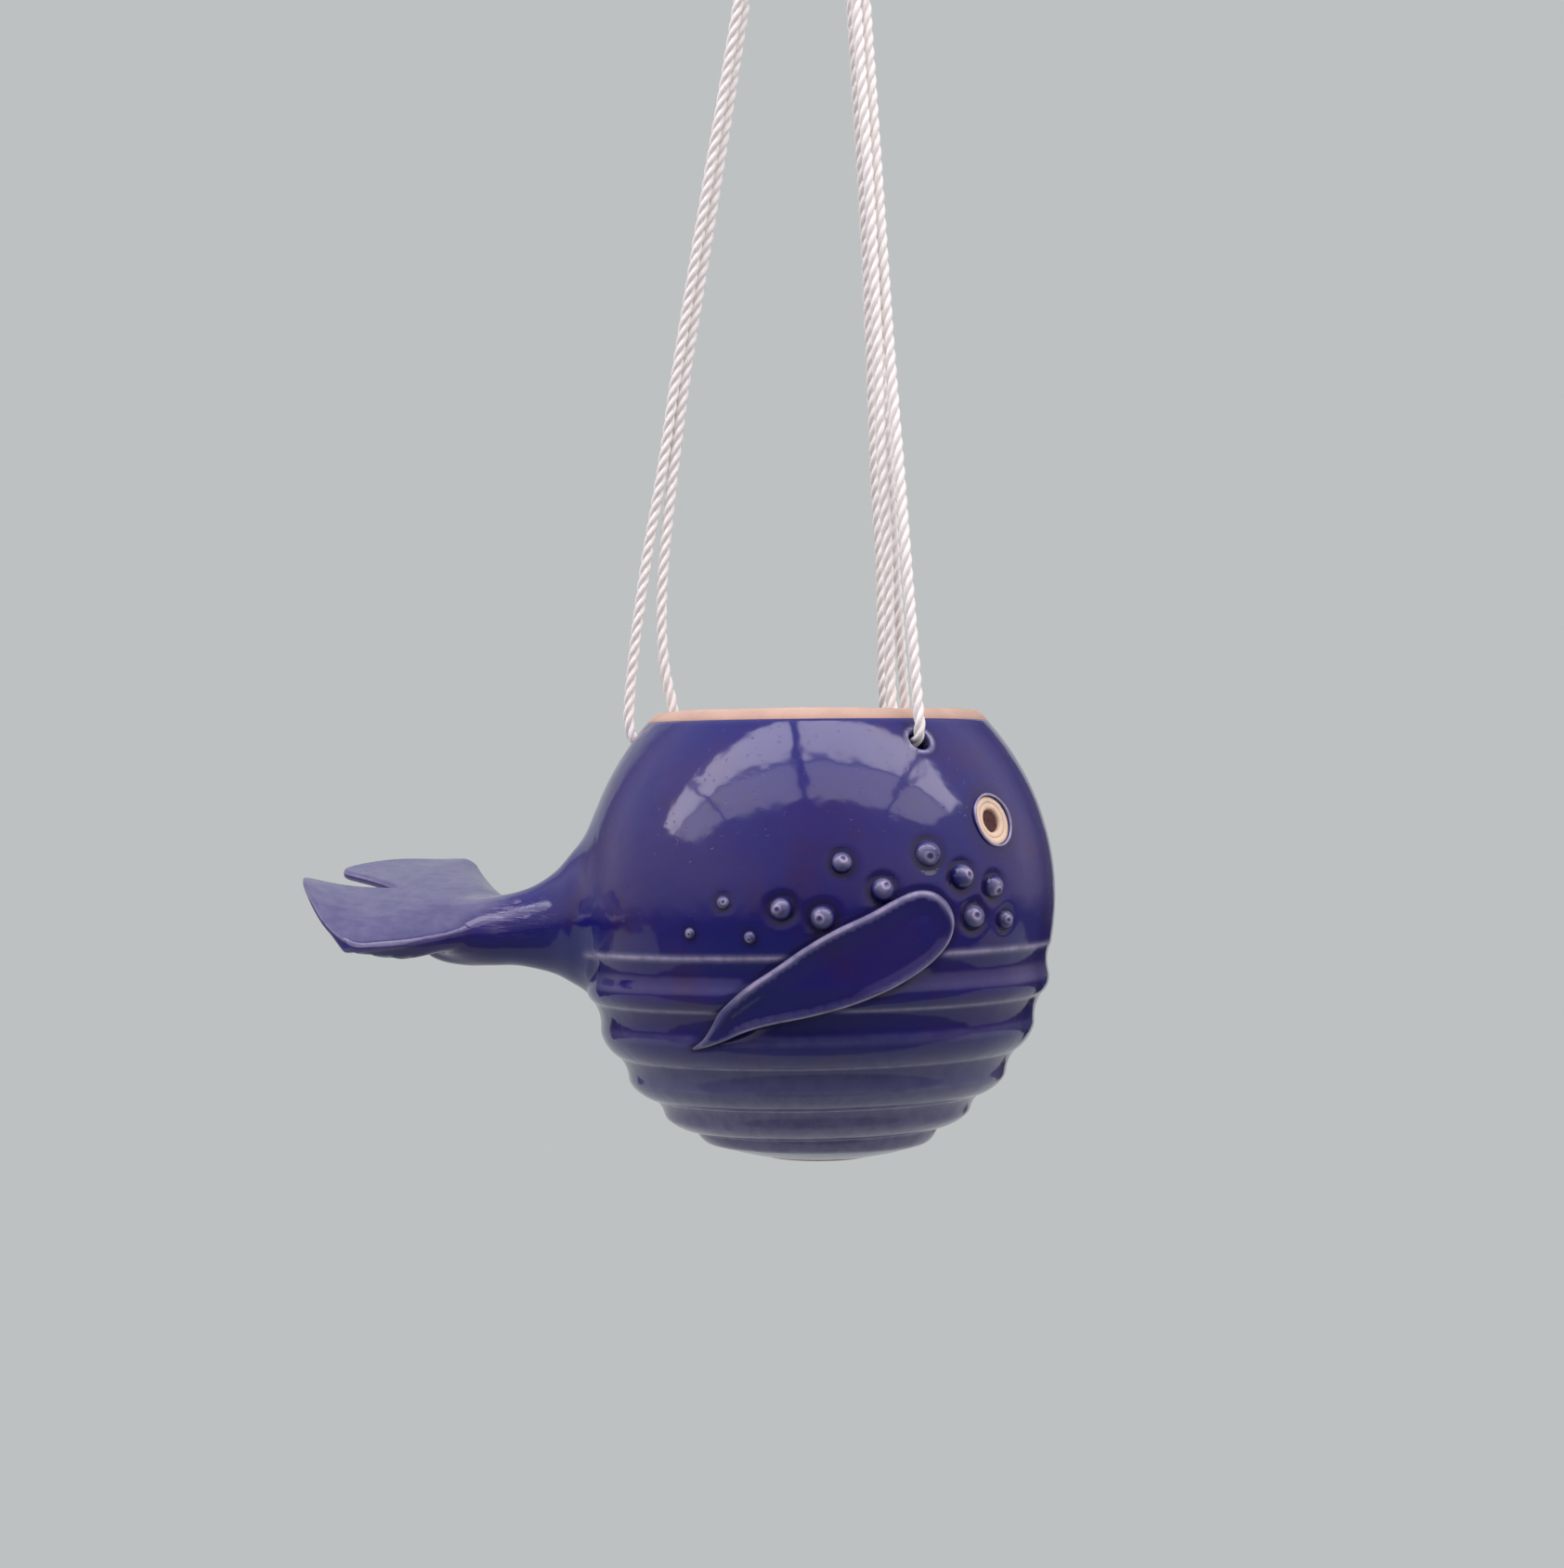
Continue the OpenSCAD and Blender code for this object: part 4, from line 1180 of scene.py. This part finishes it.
# Each line starts on a round mark on the back of the pot
FLARE_UP, FLARE_WIDE, FLARE_MID = 26.5, 27.0, -48.2
start_y = FLARE_WIDE * np.cos(q)
start_z = FLARE_MID + FLARE_UP * np.sin(q)
wall_r = smooth_radius(-start_z)
start = np.column_stack([-np.sqrt(wall_r ** 2 - start_y ** 2), start_y, start_z])
normal = unit(np.column_stack([start[:, 0] / wall_r, start[:, 1] / wall_r,
                               (BALL_DEPTH + start_z) / BALL_R]))
leave = first - start
leave = unit(leave - (leave * normal).sum(1)[:, None] * normal)
gap = np.linalg.norm(first - start, axis=1)[:, None]
arrive = unit(second - first)
wall_tree = BVHTree.FromPolygons([tuple(p) for p in cut_points],
                                 [tuple(f.vertices) for f in cut_mesh.polygons])
for t in [0.0] + list(np.linspace(0.015, 1, 40, endpoint=False)):
    h00, h10 = 2 * t ** 3 - 3 * t ** 2 + 1, t ** 3 - 2 * t ** 2 + t
    h01, h11 = -2 * t ** 3 + 3 * t ** 2, t ** 3 - t ** 2
    ring = h00 * start + h10 * 1.25 * gap * leave + h01 * first + h11 * 1.1 * gap * arrive
    if t < 0.45:
        ring = hugged(ring, normal, float(smooth(0.0, 0.45, t)), 0.05 * (1 - float(smooth(0, 0.2, t))))
    rings.append(ring)
dense = [curve_through(later[:, k], 0.05) for k in range(AROUND)]
for t in np.linspace(0, 1, 46):
    rings.append(np.array([line[int(round(t * (len(line) - 1)))] for line in dense]))
under = start - 3.0 * normal
verts = [under, start - 0.6 * normal] + rings
faces = [f for j in range(len(verts) - 1) for f in quads(j * AROUND, (j + 1) * AROUND, AROUND)]
tip, base = len(verts) * AROUND, len(verts) * AROUND + 1
faces += fan(tip - AROUND, tip, AROUND) + flipped(fan(0, base, AROUND))
stock_verts = np.vstack(verts + [rings[-1].mean(0)[None], under.mean(0)[None] + np.array([[6, 0, 0]])])
stock_verts[:, 2] += RIM
stock_faces = flipped(faces)
print("stock:", len(stock_verts), "vertices")


# %% Flukes
YAW = math.radians(20)
BACK = np.array([-math.cos(YAW), math.sin(YAW), 0.0])
ACROSS = np.array([math.sin(YAW), math.cos(YAW), 0.0])
FLUKE_ROOT = np.array([-80, 3.5, -50.5])
half_outline = [(-9, 4.4), (-5, 6.0), (0, 9.0), (5, 14.0), (10.5, 19.9), (16, 26.0), (20.4, 31.0),
                (23.2, 34.2), (24.8, 34.9), (26.8, 34.4), (31, 32.2), (36.5, 28.6), (41.5, 24.2),
                (46, 19.0), (48.8, 15.0), (50.2, 12.0), (50.1, 9.7), (48.4, 7.8), (44.5, 6.1),
                (40, 4.5), (35.5, 2.7), (32, 1.1)]
outline = half_outline + [(30.2, 0.0)] + [(s, -v) for s, v in half_outline[::-1]]
FLUKES = curve_through(outline, 0.6, closed=True)[::-1].copy()
LEADING = np.array(half_outline[:9], float)


def sheet(flat, lift):
    s, v = flat[:, 0], flat[:, 1]
    roll = np.where(s < 25, 0.26, 0.26 * (1 - 0.68 * ((s - 25) / 25) ** 2))
    cup = 0.0085 * (np.maximum(s - 30, 0) / 20) ** 2
    z = 0.137 * s + roll * v + (cup - 0.00155) * v * v + lift
    return (FLUKE_ROOT + s[:, None] * BACK + v[:, None] * ACROSS
            + np.column_stack([np.zeros((len(s), 2)), z]))


def fluke_edge(flat, gap, depth):
    r = 0.9
    return depth - r + r * np.sqrt(np.clip(1 - ((r - np.minimum(gap, r)) / r) ** 2, 0, 1))


def lead_of(flat):
    """Distance of each point from the leading edge of its lobe."""
    return distance_along(np.column_stack([flat[:, 0], np.abs(flat[:, 1])]), LEADING)


def top_height(flat):
    """The leading edge is rolled down like the front of a wing."""
    drop = 3.2 * np.maximum(0, 1 - ((flat[:, 0] - 10.5) / 16) ** 2)
    return 1.4 - drop * np.exp(-(lead_of(flat) / 5) ** 1.3)


def fluke_top(flat, gap):
    return sheet(flat, fluke_edge(flat, gap, top_height(flat)))


def under_depth(flat):
    """The slab is deep behind its leading edge and near its root, and thin at the back."""
    s = flat[:, 0]
    lead = lead_of(flat)
    keel = np.where(s < 24.5, 11.2 - 7.8 * ((s + 2) / 26.5) ** 2, 3.4 - 2.4 * smooth(24.5, 33, s))
    keel *= 1 - 0.5 * smooth(10, -4, s)
    share = (0.42 + 0.58 * smooth(0, 2.8, lead)) * (1 - 0.8 * smooth(6, 20, lead))
    return 1.0 + (keel - 1.0) * share


def fluke_low(flat, gap):
    return sheet(flat, -fluke_edge(flat, gap, under_depth(flat)))


def fluke_wall(outline, share):
    zero = np.zeros(len(outline))
    high = fluke_edge(outline, zero, top_height(outline))
    deep = fluke_edge(outline, zero, under_depth(outline))
    return sheet(outline, high * (1 - share) - deep * share)


fluke_verts, fluke_faces, fluke_gap, fluke_count = slab(
    FLUKES, [0.12, 0.3, 0.55, 0.9, 1.4], 1.15, fluke_top, fluke_low, fluke_wall, 4)
fluke_verts[:, 2] += RIM
fluke_faces = flipped(fluke_faces)
print("flukes:", len(fluke_verts), "vertices")


# %% [markdown]
# ## Luting the flukes on
# The slab is luted on to the stock with slip and the joint is wiped smooth by thumb, so under the
# glaze the two are one skin. The meshes are fused, and the points near the joint are evened out.

# %% Fuse the stock and the flukes
def wiped(mesh, weight, passes):
    """Even out points towards their neighbours, each by its own weight."""
    co = points_of(mesh)
    a, b = read(mesh.edges, "vertices", 2, int).T
    count = np.maximum(np.bincount(a, minlength=len(co)) + np.bincount(b, minlength=len(co)), 1)
    for _ in range(passes):
        total = with_neighbours(np.zeros_like(co), co, a, b)
        co += (0.5 * weight)[:, None] * (total / count[:, None] - co)
    mesh.vertices.foreach_set("co", (co * MM).ravel())
    mesh.update()
    return co


stock = cutter([(stock_verts, stock_faces)])
tail_mesh = combined(stock, cutter([(fluke_verts, fluke_faces)]), "UNION")
bpy.data.objects.remove(stock)
tail_points = points_of(tail_mesh)
skins = [BVHTree.FromPolygons([tuple(p) for p in v], f)
         for v, f in ((stock_verts, stock_faces), (fluke_verts, fluke_faces))]
apart = np.array([[skin.find_nearest(p)[3] for skin in skins] for p in tail_points])
joint = 1 - smooth(1.5, 6.0, apart.max(1))
behind = smooth(-62, -66, tail_points[:, 0])
tail_points = wiped(tail_mesh, joint * behind, 60)
keel_end = np.exp(-((tail_points[:, 0] + 93) / 5) ** 2 - ((tail_points[:, 2] - RIM + 61) / 4) ** 2)
tail_points = wiped(tail_mesh, keel_end * (tail_points[:, 1] < 2), 40)

soften(tail_mesh)
settle(new_object("tail_clay", tail_mesh), "planter", "glaze", "tail_stock", "tail_flukes")

index, away = nearest_of(fluke_verts[:fluke_count], tail_points)
edge_gap = fluke_gap[index] + 4 * away
worn_and_sheen = 0.7 * smooth(0.15, 0.9, bend_of(tail_mesh))
worn_and_sheen = np.maximum(0.6 * worn_and_sheen, 0.62 * bell(edge_gap, 0, 0.5)) * (1 - 0.75 * joint)
# Paler on its upper face: a painted reflection of the bright sky, kept with the thin glaze
facing = read(tail_mesh.vertex_normals, "vector", 3)[:, 2]
worn_and_sheen = np.maximum(worn_and_sheen, 0.48 * smooth(0.5, 0.85, facing) * smooth(-72, -86, tail_points[:, 0]))
# The flare carries on the bands of glaze that it leaves from
wall_index, away = nearest_of(cut_points, tail_points)
carried = 1 - smooth(0.3, 2.5, away)
store(tail_mesh, "thin", np.clip(np.maximum(worn_and_sheen, carried * new_thin[wall_index]), 0, 1))
store(tail_mesh, "pool", carried * new_pool[wall_index])
scraped = np.exp(-((tail_points - np.array([-75.5, -7.0, RIM - 51.0])) ** 2
                   / np.array([7.0, 7.0, 4.0]) ** 2).sum(1))
store(tail_mesh, "scrape", np.clip(1.5 * scraped, 0, 1))
tail_mesh.materials.append(GLAZE)
print("tail:", len(tail_mesh.vertices), "vertices")


# %% [markdown]
# ## The knot, its ends and the ring
# Above the pot the six legs and the loop are tied in one round knot, and four cut ends stand out of
# it. The knot is drawn as three cords side by side on the path of an overhand knot, pulled tight.

# %% Knot
KNOT = np.array([KNOT_X, 0, -50.3])


def knot_path(shift, turn):
    t = np.linspace(0, 2 * math.pi, 26, endpoint=False)
    ring, rise = 4.35, 2.7
    x = (ring + rise * np.cos(3 * t)) * np.cos(2 * t)
    y = (ring + rise * np.cos(3 * t)) * np.sin(2 * t)
    z = 1.25 * rise * np.sin(3 * t) + shift
    c, s = math.cos(turn), math.sin(turn)
    return np.column_stack([c * x - s * y, s * x + c * y, z])


knot_parts = []
for shift, turn in ((-2.1, 0.0), (0.4, 0.22), (2.8, 0.44)):
    path = curve_through(KNOT + knot_path(shift, turn) * np.array([0.93, 0.93, 0.9]), 0.5, closed=True)
    knot_parts.append(rope("knot_turn", np.vstack([path, path[:1]]), step=0.8, sides=8, d=2.6))
for a in (0, math.pi):
    for lean in (-24, 24):
        low, high, side = math.sin(math.radians(40)), math.cos(math.radians(40)), math.radians(lean)
        ray = low * np.array([math.cos(a), math.sin(a), 0])
        ray += high * math.sin(-side) * np.array([-math.sin(a), math.cos(a), 0])
        ray += high * math.cos(side) * np.array([0, 0, 1])
        path = curve_through([KNOT + ray * r for r in (4.5, 8.0, 11.0, 14.5, 18.4)], 0.4)
        knot_parts.append(rope("cut_end", path, step=0.7, sides=8, d=2.6))
for obj in bpy.context.selected_objects:
    obj.select_set(False)
for obj in knot_parts:
    obj.select_set(True)
bpy.context.view_layer.objects.active = knot_parts[0]
bpy.ops.object.join()
knot = knot_parts[0]
knot.name = "tied_knot"
settle(knot, "knot", "cord", "top_knot", "cord_ends")

for name in cords:
    path = cord_paths[name]


# %% Ring
RING_R, RING_WIRE, RING_MIDDLE = 9, 1.25 - 0.04, -7.75
WELD_AT, WELD_LONG = math.pi / 2 + 0.9, 0.06


def ring_point(t, q):
    """The wire of the ring is a touch thinner at its weld."""
    wire = RING_WIRE * (1 - 0.03 * math.exp(-((t - WELD_AT) / WELD_LONG) ** 2))
    out = RING_R + wire * math.cos(q)
    return out * math.cos(t), wire * math.sin(q), RING_MIDDLE + out * math.sin(t)


piece("welded_ring", *torus(120, 20, ring_point), "ring", "steel", "steel_ring", STEEL)


# %% [markdown]
# ## Studio
# A pale wall and floor stand well behind and below. The light is one long soft box of eight panes over
# the pot, in a pale room that is dimmer behind the camera than at its two sides, so that the glaze
# mirrors a window at its shoulder and stays deep blue below.

# %% Stage and light
TONE = (0.51, 0.532, 0.534, 1)


def stage_material(name, plain, mirrored):
    """A wall that looks pale to the camera, and to the glaze as well if it is mirrored."""
    s = Shader(name)
    path = s.add("ShaderNodeLightPath")
    seen = path.outputs["Is Camera Ray"]
    if mirrored:
        seen = s.math("MAXIMUM", seen, path.outputs["Is Glossy Ray"])
    matt = s.add("ShaderNodeBsdfDiffuse", {"Color": plain})
    shown = s.add("ShaderNodeEmission", {"Color": TONE, "Strength": 1.0})
    both = s.add("ShaderNodeMixShader", {0: seen, 1: matt.outputs[0], 2: shown.outputs[0]})
    s.add("ShaderNodeOutputMaterial", {"Surface": both.outputs[0]})
    return s.material


def stage_plane(name, corners, material):
    mesh = bpy.data.meshes.new(name)
    mesh.from_pydata(corners, [], [(0, 1, 2, 3)])
    obj = new_object(name, mesh)
    mesh.materials.append(material)


PALE = stage_material("pale_wall", TONE, True)
FRONT = stage_material("front_floor", (0.175, 0.205, 0.23, 1), False)
WALL_Y, WALL_LEFT, WALL_RIGHT, WALL_TOP = 2.6, -2.0, 1.0, 2.2      # in metres, like the floor
FLOOR_Z, FLOOR_EDGE, FLOOR_NEAR, FLOOR_SIDE = -1.3, -0.4, -4, 6
stage_plane("wall", [(WALL_LEFT, WALL_Y, FLOOR_Z), (WALL_RIGHT, WALL_Y, FLOOR_Z),
                     (WALL_RIGHT, WALL_Y, WALL_TOP), (WALL_LEFT, WALL_Y, WALL_TOP)], PALE)
for name, y0, y1, material in (("floor", FLOOR_EDGE, WALL_Y, PALE),
                               ("near_floor", FLOOR_NEAR, FLOOR_EDGE, FRONT)):
    stage_plane(name, [(-FLOOR_SIDE, y0, FLOOR_Z), (FLOOR_SIDE, y0, FLOOR_Z),
                       (FLOOR_SIDE, y1, FLOOR_Z), (-FLOOR_SIDE, y1, FLOOR_Z)], material)

world = bpy.data.worlds.new("studio")
bpy.context.scene.world = world
world.use_nodes = True
w = Network(world.node_tree)
w.tree.nodes.clear()
place = w.add("ShaderNodeSeparateXYZ", {0: w.add("ShaderNodeTexCoord").outputs["Generated"]}).outputs
ramp = w.add("ShaderNodeValToRGB", {0: w.span(place["Z"], -1, 1, kind="LINEAR")})
stops = [(0.0, (0.10, 0.11, 0.12, 1)), (0.45, (0.16, 0.15, 0.165, 1)), (0.50, (0.60, 0.53, 0.57, 1)),
         (0.57, (0.74, 0.66, 0.71, 1)), (1.0, (0.78, 0.76, 0.82, 1))]
colours = ramp.color_ramp.elements
colours[0].color, colours[1].color = stops[0][1], stops[-1][1]
for position, colour in stops[1:-1]:
    colours.new(position).color = colour
# The room is dimmer behind the camera than at its two sides, and dimmest past the wall's right end
aside = w.span(w.math("ABSOLUTE", place["X"]), 0.1, 0.8, 0.55, 1.05, "LINEAR")
past_wall = w.span(place["Y"], 0.5, 0.8, 1.0, 0.3, "LINEAR")
room = w.add("ShaderNodeBackground", {"Color": ramp.outputs[0],
                                      "Strength": w.times(aside, past_wall)})
plain = w.add("ShaderNodeBackground", {"Color": TONE})
pick = w.add("ShaderNodeMixShader", {0: w.add("ShaderNodeLightPath").outputs["Is Camera Ray"],
                                     1: room.outputs[0], 2: plain.outputs[0]})
w.add("ShaderNodeOutputWorld", {"Surface": pick.outputs[0]})


def panel(name, where, aim, size, watts, colour):
    data = bpy.data.lights.new(name, "AREA")
    data.shape = "RECTANGLE"
    data.size, data.size_y = size
    data.energy = watts
    data.color = colour
    obj = new_object(name, data)
    obj.location = where
    obj.rotation_euler = (Vector(aim) - Vector(where)).to_track_quat("-Z", "Y").to_euler()


# One long soft box overhead, in two rows of four. Its front edge stands 42 degrees above the pot, and
# its ends 65 degrees round. Each pane has its depth range in front of the pot and its radiance.
BOX_HEIGHT = 0.85
pane_rows = [("low", -1.33, -0.66, 2.0), ("high", -0.61, -0.16, 4.6)]
pane_columns = [(-3.1, -1.6), (-1.5, -0.25), (-0.15, 1.0), (1.1, 2.1)]
for row, y0, y1, radiance in pane_rows:
    for k, (x0, x1) in enumerate(pane_columns):
        where = ((x0 + x1) / 2, (y0 + y1) / 2, BOX_HEIGHT)
        panel(f"pane_{row}_{k}", where, (where[0], where[1] + 0.001, -0.4), (x1 - x0, y1 - y0),
              radiance * math.pi * (x1 - x0) * (y1 - y0), (1.0, 0.93, 1.0))
